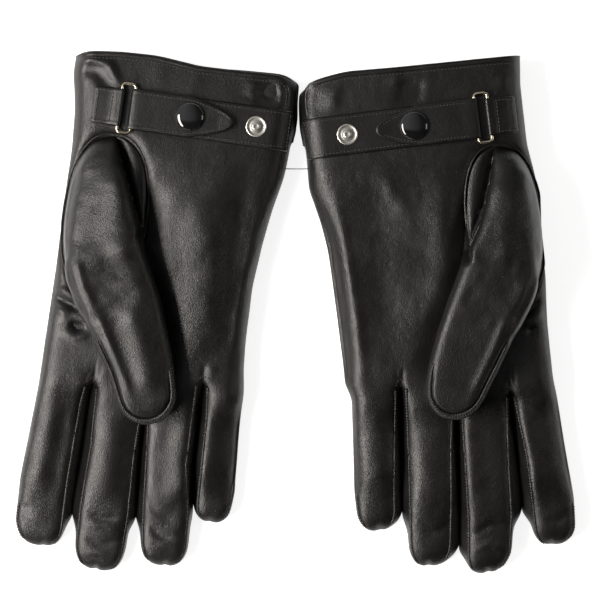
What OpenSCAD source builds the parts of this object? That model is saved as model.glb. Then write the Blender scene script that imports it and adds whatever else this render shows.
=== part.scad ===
// Pair of leather dress gloves with a snap wrist strap, lying palm up.
// Each glove is drawn in its own hand frame: fingers towards -Y, palm up,
// index side at -X, and the back of the hand flat on Z = 0.

/* [Pair] */
// Gap between the two gloves at the tack thread
pair_gap = 10; // [4:1:30]
// Length along the pair from the origin to the tack thread
thread_y = 69; // [60:1:75]
// Shift of the whole pair sideways that centres its outline
pair_shift = -0.5; // [-3:0.1:3]
// Lean of the right glove's fingers away from the middle, degrees
right_tilt = 8; // [4:0.5:12]
// Lean of the left glove's fingers away from the middle, degrees
left_tilt = 7; // [4:0.5:12]
// Thickness of the tack thread
thread_d = 0.6; // [0.4:0.1:1.2]

/* [Hand] */
// Width of the cuff, index edge to little edge
cuff_w = 105; // [95:1:115]
// Width of the hand at the knuckles
knuckle_w = 99; // [90:1:108]
// Height of the open cuff
cuff_h = 20; // [16:0.5:26]
// Height of the hand at the knuckles
knuckle_h = 17; // [15:0.5:20]
// Length from the wrist reference to the cuff edge
cuff_len = 58; // [54:1:66]
// Length from the wrist reference to the finger crotches
palm_len = 94; // [90:1:100]
// Slit left open at the little side of the cuff
vent_gap = 4; // [1:0.5:8]
// Thickness of the glove leather
leather_t = 1; // [0.6:0.1:1.2]
// Thickness of the lining
lining_t = 0.8; // [0.5:0.1:1]
// Gap between two layers that are sewn face to face
layer_gap = 0.15; // [0.1:0.05:0.2]
// Depth of the facing turned into the cuff
facing_len = 12; // [8:1:16]

/* [Fingers] */
// Length of the index finger from its crotch
index_len = 86; // [78:1:94]
// Length of the middle finger from its crotch
middle_len = 94; // [86:1:102]
// Length of the ring finger from its crotch
ring_len = 88; // [80:1:96]
// Length of the little finger from its crotch
little_len = 66; // [60:1:72]
// Width of the three long fingers
finger_w = 22.5; // [20:0.5:24]
// Width of the little finger
little_w = 19; // [17:0.5:21]
// Height of a finger at its middle joint
finger_h = 14; // [12:0.5:15]
// Height of a finger just before its tip
tip_h = 11; // [9:0.5:12]
// Length of the part of a finger beyond its middle joint
end_len = 45; // [40:1:48]
// Gap between the two sides of a finger's bend
bend_gap = 0.4; // [0.3:0.1:0.8]

/* [Thumb] */
// Length of the thumb from its bend to its tip
thumb_len = 70; // [62:1:76]
// Width of the thumb at its bend
thumb_w = 36; // [32:1:38]
// Height of the thumb at its bend
thumb_h = 14; // [12:0.5:16]
// Width of the thumb before its tip
thumb_tip_w = 29; // [25:1:31]
// Turn of the thumb across the palm, degrees
thumb_turn = 24; // [18:1:28]
// Half width of the thumb hole
hole_rx = 18; // [15:1:19]
// Half length of the thumb hole
hole_ry = 32; // [27:1:33]

/* [Strap] */
// Width of the wrist strap
strap_w = 19.5; // [16:0.5:21]
// Thickness of the strap leather
strap_t = 1.2; // [1:0.1:1.4]
// Thickness of leather pared down for a fold
fold_t = 0.8; // [0.6:0.1:0.9]
// Length of the strap tail from the loop to its point
tail_len = 48.5; // [44:0.5:54]
// Distance from the loop to the snap in use, on the right glove
right_snap_reach = 27.5; // [25:0.5:31]
// Distance from the loop to the snap in use, on the left glove
left_snap_reach = 30; // [25:0.5:31]
// Distance from the snap in use to the spare stud
stud_pitch = 32; // [26:1:32]
// Diameter of the metal loop's wire
wire_d = 1.5; // [1.2:0.1:1.6]
// Distance between the loop's two bars
loop_w = 6.4; // [6:0.2:8]
// Radius of the metal loop's corners
loop_corner = 1.8; // [1.6:0.1:3]
// Length of the keeper tab from the loop
tab_len = 13; // [11:1:14]
// Running gap round each bar of the loop
bar_gap = 0.08; // [0.05:0.01:0.1]

/* [Snap] */
// Diameter of the snap cap
cap_d = 13.8; // [12:0.2:15]
// Height of the snap cap's dome
cap_h = 2.8; // [2:0.2:3.4]
// Diameter of a stud's flange
flange_d = 10; // [9:0.2:11]
// Thickness of a stud's flange
flange_t = 0.5; // [0.4:0.1:0.6]
// Diameter of a stud's ball
ball_d = 4.2; // [3.8:0.1:4.6]
// Height of a stud's ball above its flange
ball_h = 1.2; // [1:0.1:1.3]
// Radial gap between a ball and its socket
snap_gap = 0.3; // [0.25:0.05:0.4]

/* [Hidden] */
RIGHT = 0;
LEFT = 1;
INDEX = 0;
MIDDLE = 1;
RING = 2;
LITTLE = 3;
HANDS = ["right", "left"];
FINGERS = ["index", "middle", "ring", "little"];
PIECES = concat(["trank", "fourchette_index_middle", "fourchette_middle_ring",
    "fourchette_ring_little", "thumb_base", "thumb_end", "thumb_end_lining"],
    [for (f = FINGERS) each [str(f, "_end"), str(f, "_end_lining")]],
    ["lining", "cuff_facing", "strap_base", "strap_tail", "keeper_tab", "strap_loop",
    "snap_cap", "snap_socket", "snap_stud", "spare_stud", "stud_backs"]);

BLACK = [0.05, 0.05, 0.055];
LINING = [0.12, 0.12, 0.13];
NICKEL = [0.78, 0.76, 0.72];

// Place of each glove's fingers, thumb and strap, which differ a little by hand
finger_x = [[-42, -14, 8.5, 35.5], [-44.5, -22, 4, 31]];
splay = [[-2.5, 0, 6, 2.5], [-1.5, 5, 6.5, 5]];
crotch_x = [[-27.5, -2, 24], [-33, -8, 18]];
crotch_y = [-99, -97, -91];
thumb_y = [-15, -17.5];
thumb_x = -33;
strap_y = [33.5, 31];

// ---- The hand as a ring with round sides, whose round sides are half as wide as it is high
index_x = -55;
narrow = cuff_w - knuckle_w;
strap_low = 14;
shoulder = -45;
function smooth(a, b, v) = let (u = min(1, max(0, (v - a) / (b - a)))) u * u * (3 - 2 * u);
function mix(a, b, u) = a + (b - a) * u;
function hand_h(y) = mix(cuff_h, knuckle_h, smooth(strap_low, -palm_len, y));
function low_x(y) = index_x;
function high_x(y) = index_x + cuff_w - narrow * smooth(strap_low, shoulder, y);
function flat_len(y) = high_x(y) - low_x(y) - hand_h(y);

// Point on the hand at a distance s round it from the top of its little side,
// going over the palm, round the index side and back under the hand
function hand_pt(y, s, t) =
    let (r = hand_h(y) / 2, run = flat_len(y), half = PI * r)
    let (xl = high_x(y) - r, xi = low_x(y) + r, q = r - t)
    s < 0 ? [xl - q * sin(s / r * 180 / PI), y, r + q * cos(s / r * 180 / PI)]
    : s <= run ? [xl - s, y, r + q]
    : s <= run + half ?
        let (a = (s - run) / r * 180 / PI) [xi - q * sin(a), y, r + q * cos(a)]
    : s <= 2 * run + half ? [xi + s - run - half, y, r - q]
    : let (a = (s - 2 * run - half) / r * 180 / PI) [xl + q * sin(a), y, r - q * cos(a)];

// ---- Columns round the hand: a kind and a value each
// Kinds: 0 little side above the seam, 1 palm, 2 index side, 3 back, 4 little side below it
// Angles down a round side from its top, shared by every ring
END_A = 0.5;
STRIP_A = 50;
ARC_IN = 25;
ARC = [ARC_IN, STRIP_A, 90];
HALF_ARC = concat(ARC, [180 - STRIP_A, 180 - ARC_IN]);
EDGE = 0.1;
SLOPE = 0.28;
function palm_share(side, x) = (high_x(-palm_len) - hand_h(-palm_len) / 2 - x) / flat_len(-palm_len);
function strip_x(a, b) = [for (u = [EDGE, SLOPE, 1 - SLOPE, 1 - EDGE, 1]) mix(a, b, u)];
function palm_cols(side) =
    let (c = crotch_x[side], far = low_x(-palm_len) + hand_h(-palm_len) / 2)
    let (near = high_x(-palm_len) - hand_h(-palm_len) / 2)
    [for (x = concat([near, mix(c[2], near, SLOPE), mix(c[2], near, EDGE), c[2]],
        strip_x(c[2], c[1]), strip_x(c[1], c[0]),
        [mix(c[0], far, EDGE), mix(c[0], far, SLOPE), far])) palm_share(side, x)];
function back_cols(side) =
    let (p = palm_cols(side)) [for (i = [len(p) - 1 : -1 : 0]) p[i]];
function columns(side) = concat(
    [for (a = [90, STRIP_A, ARC_IN]) [0, a]],
    [for (f = palm_cols(side)) [1, f]],
    [for (a = HALF_ARC) [2, a]],
    [for (f = back_cols(side)) [3, f]],
    [for (a = ARC) [4, a]]);
function arc_len(y, a) = hand_h(y) / 2 * a * PI / 180;
function col_s(y, c, gap) =
    let (run = flat_len(y), half = arc_len(y, 180), seam = arc_len(y, 90) - gap / 2)
    c[0] == 0 ? -min(arc_len(y, c[1]), seam)
    : c[0] == 1 ? c[1] * run
    : c[0] == 2 ? run + arc_len(y, c[1])
    : c[0] == 3 ? run + half + (1 - c[1]) * run
    : 2 * run + half + min(arc_len(y, c[1]), seam);

// ---- Rows along the hand, from the cuff to the crotches
HOLE_ROWS = [5, 10];
HOLE_COLS = [14, 20];
function hole_span(side) = [thumb_y[side] + hole_ry, thumb_y[side] - hole_ry];
function rows(side, top) = let (h = hole_span(side)) concat(
    [top, mix(top, strap_y[side], 0.5), strap_y[side], strap_y[side] - strap_w / 2, h[0] + hole_rim],
    [for (i = [0 : 5]) mix(h[0], h[1], i / 5)],
    [mix(h[1], -palm_len, 0.5), crotch_line(side, high_x(h[1])) + 3 * hole_rim]);
// The crotch row dips and rises with the crotches
function crotch_line(side, x) = let (c = crotch_x[side])
    x > c[2] ? crotch_y[2] : x > c[1] ? mix(crotch_y[2], crotch_y[1], (c[2] - x) / (c[2] - c[1]))
    : x > c[0] ? mix(crotch_y[1], crotch_y[0], (c[1] - x) / (c[1] - c[0])) : crotch_y[0];

// Grid of the hand's surface at depth t, with its thumb hole drawn round. A lining
// has no vent, and ends just behind the leather of the crotches
lining_back = leather_t + layer_gap;
function oval(side, i, j) =
    let (u = (j - (HOLE_COLS[0] + HOLE_COLS[1]) / 2) / ((HOLE_COLS[1] - HOLE_COLS[0]) / 2))
    let (v = (i - (HOLE_ROWS[0] + HOLE_ROWS[1]) / 2) / ((HOLE_ROWS[1] - HOLE_ROWS[0]) / 2))
    let (a = atan2(v, u)) [thumb_x - hole_rx * cos(a), thumb_y[side] - hole_ry * sin(a)];
function on_hole(i, j) =
    let (in_i = i >= HOLE_ROWS[0] && i <= HOLE_ROWS[1], in_j = j >= HOLE_COLS[0] && j <= HOLE_COLS[1])
    in_i && in_j && (i == HOLE_ROWS[0] || i == HOLE_ROWS[1] || j == HOLE_COLS[0] || j == HOLE_COLS[1]);
function at_x(y, x) = high_x(y) - hand_h(y) / 2 - x;
function hand_grid(side, top, t, vent) =
    let (ys = rows(side, top), cs = columns(side))
    concat(
        [for (i = [0 : len(ys) - 1]) let (gap = vent * smooth(strap_y[side], cuff_len, ys[i]) + layer_gap)
            [for (j = [0 : len(cs) - 1])
                on_hole(i, j) ? let (o = oval(side, i, j)) hand_pt(o[1], at_x(o[1], o[0]), t)
                : hand_pt(ys[i], col_s(ys[i], cs[j], vent < 0 ? 0 : gap), t)]],
        [[for (c = cs) let (y0 = -palm_len, x = hand_pt(y0, col_s(y0, c, 0), t)[0])
            let (y = crotch_line(side, x) + (vent < 0 ? lining_back : 0))
            hand_pt(y, col_s(y, c, vent < 0 ? 0 : layer_gap), t)]]);

// ---- Fingers as rings with round sides
finger_len = [index_len, middle_len, ring_len, little_len];
full_w = [finger_w, finger_w, finger_w, little_w];
base_y = -palm_len;
DOME = 12;
function cut_at(k) = finger_len[k] - end_len * finger_len[k] / middle_len;
function dome(len, d) = d < len - DOME ? 1 : sqrt(max(0, 1 - pow((d - len + DOME) / DOME, 2)));
function finger_wide(k, d) = full_w[k] * mix(1, 0.92, smooth(cut_at(k), finger_len[k], d));
function finger_high(k, d) = mix(finger_h, tip_h, smooth(cut_at(k), finger_len[k] - DOME, d));
function turn(p, a) = [p[0] * cos(a) - p[1] * sin(a), p[0] * sin(a) + p[1] * cos(a)];
function finger_out(side, k, p) = let (q = turn([p[0], p[1]], splay[side][k]))
    [finger_x[side][k] + q[0], base_y + q[1], p[2]];
// Point on a ring of width w, height h about height zc, at angle a from its top:
// positive towards the index side, 0 to the middle of the top at share f
function ring_pt(w, h, zc, a, y) = let (r = h / 2, m = w / 2 - r)
    [-sign(sin(a)) * m - r * sin(a), y, zc + r * cos(a)];
function finger_pt(side, k, d, a, t) =
    let (s = dome(finger_len[k], d), w = finger_wide(k, d) * s, h = finger_high(k, d))
    finger_out(side, k, ring_pt(w - 2 * t, h * s - 2 * t, h / 2, a, -d));
// A hair off the middle keeps the flat top's two ends apart
RING_SIDE = concat([END_A], HALF_ARC, [180 - END_A]);
FULL_RING = concat(RING_SIDE, [for (a = RING_SIDE) 180 + a]);

// ---- Thin closed sheets from an outer and an inner grid of points
// A patch is [outer grid, inner grid, open edges [first row, last row, first
// column, last column], tip closed, hole rows, hole columns]
function flat(g) = [for (row = g) each row];
function centre(row) = [for (i = [0 : 2]) let (v = [for (p = row) p[i]]) (min(v) + max(v)) / 2];
function patch_pts(p) = concat(flat(p[0]), flat(p[1]),
    p[3] ? [centre(p[0][len(p[0]) - 1]), centre(p[1][len(p[1]) - 1])] : []);
function quad(a, b, c, d) = [[a, c, b], [a, d, c]];
function is_hole(p, i, j) = len(p) > 4 && i >= p[4][0] && i < p[4][1] && j >= p[5][0] && j < p[5][1];
function patch_faces(p, at) =
    let (nr = len(p[0]), nc = len(p[0][0]), n = nr * nc, o = p[2], last = nr - 1, end = nc - 1)
    concat(
        [for (i = [0 : nr - 2], j = [0 : nc - 2]) if (!is_hole(p, i, j))
            let (a = at + i * nc + j) each concat(quad(a, a + 1, a + nc + 1, a + nc),
                quad(a + n + nc, a + n + nc + 1, a + n + 1, a + n))],
        [for (i = [0 : nr - 2], j = [0 : nc - 2]) if (is_hole(p, i, j))
            let (a = at + i * nc + j, b = a + 1, c = a + nc + 1, d = a + nc) each concat(
                is_hole(p, i - 1, j) ? [] : quad(a, b, b + n, a + n),
                is_hole(p, i + 1, j) ? [] : quad(c, d, d + n, c + n),
                is_hole(p, i, j - 1) ? [] : quad(d, a, a + n, d + n),
                is_hole(p, i, j + 1) ? [] : quad(b, c, c + n, b + n))],
        [for (j = [0 : nc - 2]) if (o[0]) let (a = at + j) each quad(a + 1, a, a + n, a + n + 1)],
        [for (j = [0 : nc - 2]) if (o[1]) let (a = at + last * nc + j) each quad(a, a + 1, a + n + 1, a + n)],
        [for (i = [0 : nr - 2]) if (o[2]) let (a = at + i * nc) each quad(a, a + nc, a + n + nc, a + n)],
        [for (i = [0 : nr - 2]) if (o[3]) let (a = at + i * nc + end) each quad(a + nc, a, a + n, a + n + nc)],
        [for (j = [0 : nc - 2]) if (p[3]) let (a = at + last * nc + j, c = at + 2 * n)
            each [[a + 1, a, c], [a + n, a + n + 1, c + 1]]]);
function patch_size(p) = len(patch_pts(p));
function starts(ps, i = 0, at = 0) = i >= len(ps) ? [] :
    concat([at], starts(ps, i + 1, at + patch_size(ps[i])));
module skin(patches) {
    at = starts(patches);
    polyhedron(points = [for (p = patches) each patch_pts(p)],
        faces = [for (i = [0 : len(patches) - 1]) each patch_faces(patches[i], at[i])], convexity = 10);
}

// ---- Leather of the hand: palm and back in one, folded at the index side
STRIP_ROWS = [10, 24];
SEAM_A = 89.3;
PALM_ANGLES = [-STRIP_A, -ARC_IN, -END_A, END_A, ARC_IN, STRIP_A];
BACK_ANGLES = [for (a = PALM_ANGLES) 180 + a];
INDEX_ANGLES = concat([-STRIP_A, -ARC_IN, -END_A], RING_SIDE, [for (a = [END_A, ARC_IN, STRIP_A]) 180 + a]);
LITTLE_PALM_ANGLES = concat([-SEAM_A], PALM_ANGLES);
LITTLE_BACK_ANGLES = concat(BACK_ANGLES, [180 + SEAM_A]);
function strip_rows(k) = concat(STRIP_ROWS, [cut_at(k) - bend_gap / 2]);
function cols_of(row, a) = [for (j = [a[0] : a[1]]) row[j]];
function strip(side, k, grid, cols, angles, t) = concat([cols_of(grid[len(grid) - 1], cols)],
    [for (d = strip_rows(k)) [for (a = angles) finger_pt(side, k, d, a, t)]]);
// Each strip: finger, columns of the hand it grows from, and its angles
STRIPS = [[LITTLE, [0, 6], LITTLE_PALM_ANGLES], [RING, [6, 11], PALM_ANGLES],
    [MIDDLE, [11, 16], PALM_ANGLES], [INDEX, [16, 28], INDEX_ANGLES],
    [MIDDLE, [28, 33], BACK_ANGLES], [RING, [33, 38], BACK_ANGLES],
    [LITTLE, [38, 44], LITTLE_BACK_ANGLES]];
module trank(side) {
    outer = hand_grid(side, cuff_len, 0, vent_gap);
    inner = hand_grid(side, cuff_len, leather_t, vent_gap);
    color(BLACK) skin(concat(
        [[outer, inner, [true, false, true, true], false, HOLE_ROWS, HOLE_COLS]],
        [for (s = STRIPS) [strip(side, s[0], outer, s[1], s[2], 0),
            strip(side, s[0], inner, s[1], s[2], leather_t), [false, true, true, true], false]]));
}

// ---- Side strips between two fingers, from one bend down to the crotch and up to the other
SIDE_ANGLES = [180 - STRIP_A - 6, 90, STRIP_A + 6];
function side_row(side, k, d, sign, t) = [for (a = SIDE_ANGLES) finger_pt(side, k, d, sign * a, t)];
function crotch_row(side, gap, t) = let (h = knuckle_h, inset = leather_t + layer_gap)
    [for (z = [inset, h / 2, h - inset]) [crotch_x[side][gap], crotch_y[gap] + t, z]];
function fourchette_grid(side, gap, t) = let (rows = strip_rows(gap + 1), back = strip_rows(gap)) concat(
    [for (i = [len(rows) - 1 : -1 : 0]) side_row(side, gap + 1, rows[i], 1, t)],
    [crotch_row(side, gap, t)],
    [for (d = back) side_row(side, gap, d, -1, t)]);
module fourchette(side, gap) {
    color(BLACK) skin([[fourchette_grid(side, gap, 0), fourchette_grid(side, gap, leather_t),
        [true, true, true, true], false]]);
}

// ---- Ends of the fingers, closed at the tip
TIP_ROWS = [0, 5, 8.5, 10.8];
function end_rows(k) = let (len = finger_len[k]) concat([cut_at(k) + bend_gap / 2, (cut_at(k) + len - DOME) / 2],
    [for (d = TIP_ROWS) len - DOME + d]);
function tube(side, k, rows, t, short) = [for (d = rows)
    [for (a = concat(FULL_RING, [FULL_RING[0]])) finger_pt(side, k, d - (d > finger_len[k] - DOME ? short : 0), a, t)]];
CLOSED_END = [true, false, false, false];
OPEN_ENDS = [true, true, false, false];
module finger_end(side, k, colour, t0, t1) {
    color(colour) skin([[tube(side, k, end_rows(k), t0, t0), tube(side, k, end_rows(k), t1, t1),
        CLOSED_END, true]]);
}

// ---- Thumb: a dome over its hole that turns into a tube along the palm
hole_rim = 1.5;
thumb_bend = hole_ry + hole_rim;
bend_shift = 7.5;
thumb_float = 0.4;
function thumb_mid(side) = [thumb_x + bend_shift, thumb_y[side] - thumb_bend];
thumb_low = hand_h(-thumb_bend) + thumb_float;
thumb_top = thumb_low + thumb_h;
function thumb_wide(d) = mix(thumb_w, thumb_tip_w, smooth(0, thumb_len - 2 * DOME, d));
function thumb_high(d) = mix(thumb_h, tip_h, smooth(0, thumb_len - DOME, d));
function thumb_pt(side, d, a, t) =
    let (s = dome(thumb_len, d), h = thumb_high(d))
    let (p = ring_pt(thumb_wide(d) * s - 2 * t, h * s - 2 * t, thumb_low + h / 2, a, -d))
    let (q = turn([p[0], p[1]], thumb_turn), m = thumb_mid(side)) [m[0] + q[0], m[1] + q[1], p[2]];
RING_COUNT = len(FULL_RING);
LAP = 1.2;
function hole_pt(side, j, e) =
    let (b = (j + 0.5) * 360 / RING_COUNT, y = thumb_y[side] + (hole_ry + e) * cos(b))
    hand_pt(y, at_x(y, thumb_x - (hole_rx + e) * sin(b)), -layer_gap);
function bent(a, b, u) = let (c = [a[0], a[1], max(a[2], b[2])], v = 1 - u)
    v * v * a + 2 * u * v * c + u * u * b;
function thumb_base_grid(side, e, t) = [for (i = [0 : 4]) [for (j = [0 : RING_COUNT - 1])
    bent(hole_pt(side, j, e), thumb_pt(side, -bend_gap / 2, FULL_RING[j], t), i / 4)]];
function ringed(grid) = [for (row = grid) concat(row, [row[0]])];
function thumb_rows() = concat([bend_gap / 2, thumb_len / 2 - DOME],
    [for (d = TIP_ROWS) thumb_len - DOME + d]);
function thumb_tube(side, t, short) = [for (d = thumb_rows())
    [for (a = FULL_RING) thumb_pt(side, d - (d > thumb_len - DOME ? short : 0), a, t)]];
module thumb_base(side) {
    color(BLACK) skin([[ringed(thumb_base_grid(side, LAP, 0)), ringed(thumb_base_grid(side, 0, leather_t)),
        OPEN_ENDS, false]]);
}
module thumb_end(side, colour, t0, t1) {
    color(colour) skin([[ringed(thumb_tube(side, t0, t0)), ringed(thumb_tube(side, t1, t1)), CLOSED_END, true]]);
}

// ---- Lining, in sleeves sewn end to end
lining_0 = leather_t + layer_gap;
lining_1 = lining_0 + lining_t;
// A sleeve starts just past the hand's lining, drawn in a little there
draw_in = 1.3;
function sleeve_start(k) = base_y - min([for (c = [max(0, k - 1) : min(2, k)]) crotch_y[c]]) + 2 * layer_gap;
function sleeve(side, k, t) = concat(
    [[for (a = FULL_RING) finger_pt(side, k, max(1, sleeve_start(k)), a, t + draw_in)]],
    [for (d = strip_rows(k)) [for (a = FULL_RING) finger_pt(side, k, d, a, t)]]);
module lining(side) {
    top = cuff_len - facing_len - layer_gap;
    color(LINING) skin(concat(
        [[hand_grid(side, top, lining_0, -1), hand_grid(side, top, lining_1, -1), OPEN_ENDS, false,
            HOLE_ROWS, HOLE_COLS]],
        [for (k = [INDEX : LITTLE]) [ringed(sleeve(side, k, lining_0)), ringed(sleeve(side, k, lining_1)),
            OPEN_ENDS, false]],
        [[ringed(thumb_base_grid(side, -layer_gap, lining_0)),
            ringed(thumb_base_grid(side, -layer_gap - lining_t, lining_1)), OPEN_ENDS, false]]));
}
module cuff_facing(side) {
    rows = [cuff_len - layer_gap, cuff_len - facing_len / 2, cuff_len - facing_len];
    cs = columns(side);
    function facing(t) = [for (y = rows) let (gap = vent_gap * smooth(strap_y[side], cuff_len, y) + layer_gap)
        [for (c = cs) hand_pt(y, col_s(y, c, gap), t)]];
    color(BLACK) skin([[facing(lining_0 - layer_gap / 2), facing(lining_1), [true, true, true, true], false]]);
}

// ---- Wrist strap: base sewn on, a metal loop in a keeper tab, and a tail with the snap
bar_inset = [28.5, 22];
snap_reach = [right_snap_reach, left_snap_reach];
function bar_in(side) = index_x + bar_inset[side];
function bar_out(side) = bar_in(side) - loop_w;
function snap_x(side) = bar_in(side) + snap_reach[side];
function spare_x(side) = snap_x(side) + stud_pitch;
wire_r = wire_d / 2;
bore_r = wire_r + bar_gap;
fold_r = bore_r + fold_t;
base_z = cuff_h + layer_gap;
base_top = base_z + strap_t;
bar_z = base_z + fold_r;
tail_z = bar_z + bore_r;
tail_top = tail_z + strap_t;
FOLD_START = 215;
fold_lap = 4;
base_wrap = 55;
swing_gap = 0.4;
function flat_end(side) = high_x(strap_y[side]) - cuff_h / 2;
back_r = 3;
back_t = 0.4;
post_r = 1.2;
FIT = 0.05;
// Section of leather that lies flat on the hand for a run and then wraps round its side
module wrapped_profile(run, thick, wrap) {
    r = cuff_h / 2 + layer_gap;
    far = 2 * r;
    translate([-run, r]) square([run, thick]);
    difference() {
        circle(r = r + thick, $fn = 96);
        circle(r = r, $fn = 96);
        polygon([[0, far], [0, 0], [far * sin(wrap), far * cos(wrap)], [far, far],
            [far, -far], [-far, -far], [-far, far]]);
    }
}
module strap_base(side) {
    start = bar_in(side) + fold_r + swing_gap;
    low = strap_y[side] - strap_w / 2;
    color(BLACK) difference() {
        translate([flat_end(side), low + strap_w, cuff_h / 2]) rotate([90, 0, 0])
            linear_extrude(strap_w) wrapped_profile(flat_end(side) - start, strap_t, base_wrap);
        for (x = [snap_x(side), spare_x(side)]) translate([x, strap_y[side], base_z - 1]) {
            cylinder(r = post_r + FIT, h = strap_t + 2, $fn = 32);
            cylinder(r = back_r + FIT, h = 1 + back_t + FIT, $fn = 32);
        }
    }
}
ball_rim = ball_h - 0.3;
undercut = 0.4;
module stud(side, x) {
    neck = ball_h - ball_rim;
    color(NICKEL) translate([x, strap_y[side], base_top]) {
        cylinder(r = flange_d / 2, h = flange_t, $fn = 64);
        cylinder(r = ball_d / 2 - undercut, h = flange_t + neck + FIT, $fn = 48);
        translate([0, 0, flange_t + neck]) cylinder(r = ball_d / 2, h = ball_rim, $fn = 48);
        translate([0, 0, back_t + FIT - strap_t]) cylinder(r = post_r, h = strap_t, $fn = 32);
    }
}
module stud_backs(side) {
    color(NICKEL) for (x = [snap_x(side), spare_x(side)])
        translate([x, strap_y[side], base_z]) cylinder(r = back_r, h = back_t, $fn = 48);
}
// The cap overhangs the socket, and a thin floor of leather closes it
cap_over = 1.8;
snap_rise = 0.25;
socket_skin = 0.2;
socket_r = cap_d / 2 - cap_over;
socket_z = base_top + flange_t + snap_rise;
socket_top = tail_top - socket_skin;
module snap_socket(side) {
    deep = base_top + flange_t + ball_h + 2 * FIT - socket_z;
    color(NICKEL) translate([snap_x(side), strap_y[side], socket_z]) difference() {
        cylinder(r = socket_r, h = socket_top - socket_z, $fn = 64);
        translate([0, 0, -1]) cylinder(r = ball_d / 2 + snap_gap, h = deep + 1, $fn = 48);
    }
}
module snap_cap(side) {
    rim = 0.6;
    r = cap_d / 2;
    rise = cap_h - rim;
    curve = (r * r + rise * rise) / (2 * rise);
    color(BLACK) translate([snap_x(side), strap_y[side], tail_top + FIT]) {
        rotate_extrude($fn = 64) {
            square([r, rim]);
            translate([0, rim]) intersection() {
                square([r, rise]);
                translate([0, rise - curve]) circle(r = curve, $fn = 128);
            }
        }
        translate([0, 0, -socket_skin]) cylinder(r = post_r, h = socket_skin + FIT, $fn = 32);
    }
}
point_run = 20;
module tail_plan() {
    curve = (point_run * point_run + strap_w * strap_w / 4) / strap_w;
    straight = tail_len - point_run;
    translate([1, -strap_w / 2]) square([straight - 1, strap_w]);
    intersection() {
        translate([straight, -strap_w / 2]) square([point_run, strap_w]);
        translate([straight, strap_w / 2 - curve]) circle(r = curve, $fn = 128);
        translate([straight, curve - strap_w / 2]) circle(r = curve, $fn = 128);
    }
}
module fold_profile(start) {
    far = 2 * fold_r;
    difference() {
        circle(r = fold_r, $fn = 64);
        circle(r = bore_r, $fn = 64);
        polygon([[0, far], [0, 0], [far * cos(start), far * sin(start)], [far * cos(start), -far],
            [far, -far], [far, far]]);
    }
    translate([0, bore_r]) square([fold_lap, fold_t]);
}
module along_y(side, width) {
    translate([0, strap_y[side] + width / 2, bar_z]) rotate([90, 0, 0]) linear_extrude(width) children();
}
module strap_tail(side) {
    color(BLACK) difference() {
        union() {
            translate([bar_in(side), 0, 0]) along_y(side, strap_w) fold_profile(FOLD_START);
            translate([bar_in(side), strap_y[side], tail_z]) linear_extrude(strap_t) tail_plan();
        }
        translate([snap_x(side), strap_y[side], tail_z - 1]) {
            cylinder(r = socket_r + FIT, h = socket_top - tail_z + FIT + 1, $fn = 64);
            cylinder(r = post_r + FIT, h = strap_t + 2, $fn = 32);
        }
    }
}
tab_slope = 5;
module keeper_tab(side) {
    low = base_z - bar_z;
    slim = low + 2 * fold_t;
    run = bar_out(side) - index_x - cuff_h / 2;
    wrap = (tab_len - run) / (cuff_h / 2 + layer_gap) * 180 / PI;
    color(BLACK) translate([bar_out(side), 0, 0]) along_y(side, strap_w - 1.5) difference() {
        union() {
            circle(r = fold_r, $fn = 64);
            polygon([[0, low], [0, fold_r], [-tab_slope, slim], [-tab_slope, low]]);
            translate([-run, cuff_h / 2 - bar_z]) mirror([1, 0])
                wrapped_profile(run, 2 * fold_t, wrap);
        }
        circle(r = bore_r, $fn = 64);
    }
}
module strap_loop(side) {
    half = strap_w / 2 + 0.2;
    cross = loop_w / 2 - loop_corner;
    color(NICKEL) translate([bar_out(side) + loop_w / 2, strap_y[side], bar_z])
        for (a = [0, 180]) rotate([0, 0, a]) {
            translate([loop_w / 2, half, 0]) rotate([90, 0, 0])
                cylinder(r = wire_r, h = 2 * half, $fn = 32);
            translate([-cross, half + loop_corner, 0]) rotate([0, 90, 0])
                cylinder(r = wire_r, h = 2 * cross, $fn = 32);
            for (flip = [0, 1]) mirror([flip, 0, 0]) translate([cross, half, 0])
                rotate_extrude(angle = 90, $fn = 64) translate([loop_corner, 0])
                    circle(r = wire_r, $fn = 32);
        }
}

// ---- The pair
thread_at = [16, 17.5];
tilt = [right_tilt, left_tilt];
module place(side) {
    at = thread_at[side];
    translate([pair_shift, 0, 0]) mirror([side, 0, 0]) translate([-pair_gap / 2, thread_y, 0])
        rotate([0, 0, -tilt[side]]) translate([-high_x(at), -at, 0]) children();
}
module pair_thread() {
    slack = 0.3;
    color(BLACK) translate([pair_shift - pair_gap / 2 + slack, thread_y, cuff_h / 2]) rotate([0, 90, 0])
        cylinder(d = thread_d, h = pair_gap - 2 * slack, $fn = 24);
}
module piece(name, side) {
    if (name == "trank") trank(side);
    if (name == "fourchette_index_middle") fourchette(side, 0);
    if (name == "fourchette_middle_ring") fourchette(side, 1);
    if (name == "fourchette_ring_little") fourchette(side, 2);
    if (name == "thumb_base") thumb_base(side);
    if (name == "thumb_end") thumb_end(side, BLACK, 0, leather_t);
    if (name == "thumb_end_lining") thumb_end(side, LINING, lining_0, lining_1);
    if (name == "lining") lining(side);
    if (name == "cuff_facing") cuff_facing(side);
    if (name == "strap_base") strap_base(side);
    if (name == "strap_tail") strap_tail(side);
    if (name == "keeper_tab") keeper_tab(side);
    if (name == "strap_loop") strap_loop(side);
    if (name == "snap_cap") snap_cap(side);
    if (name == "snap_socket") snap_socket(side);
    if (name == "snap_stud") stud(side, snap_x(side));
    if (name == "spare_stud") stud(side, spare_x(side));
    if (name == "stud_backs") stud_backs(side);
    for (k = [INDEX : LITTLE]) {
        if (name == str(FINGERS[k], "_end")) finger_end(side, k, BLACK, 0, leather_t);
        if (name == str(FINGERS[k], "_end_lining")) finger_end(side, k, LINING, lining_0, lining_1);
    }
}
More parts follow.
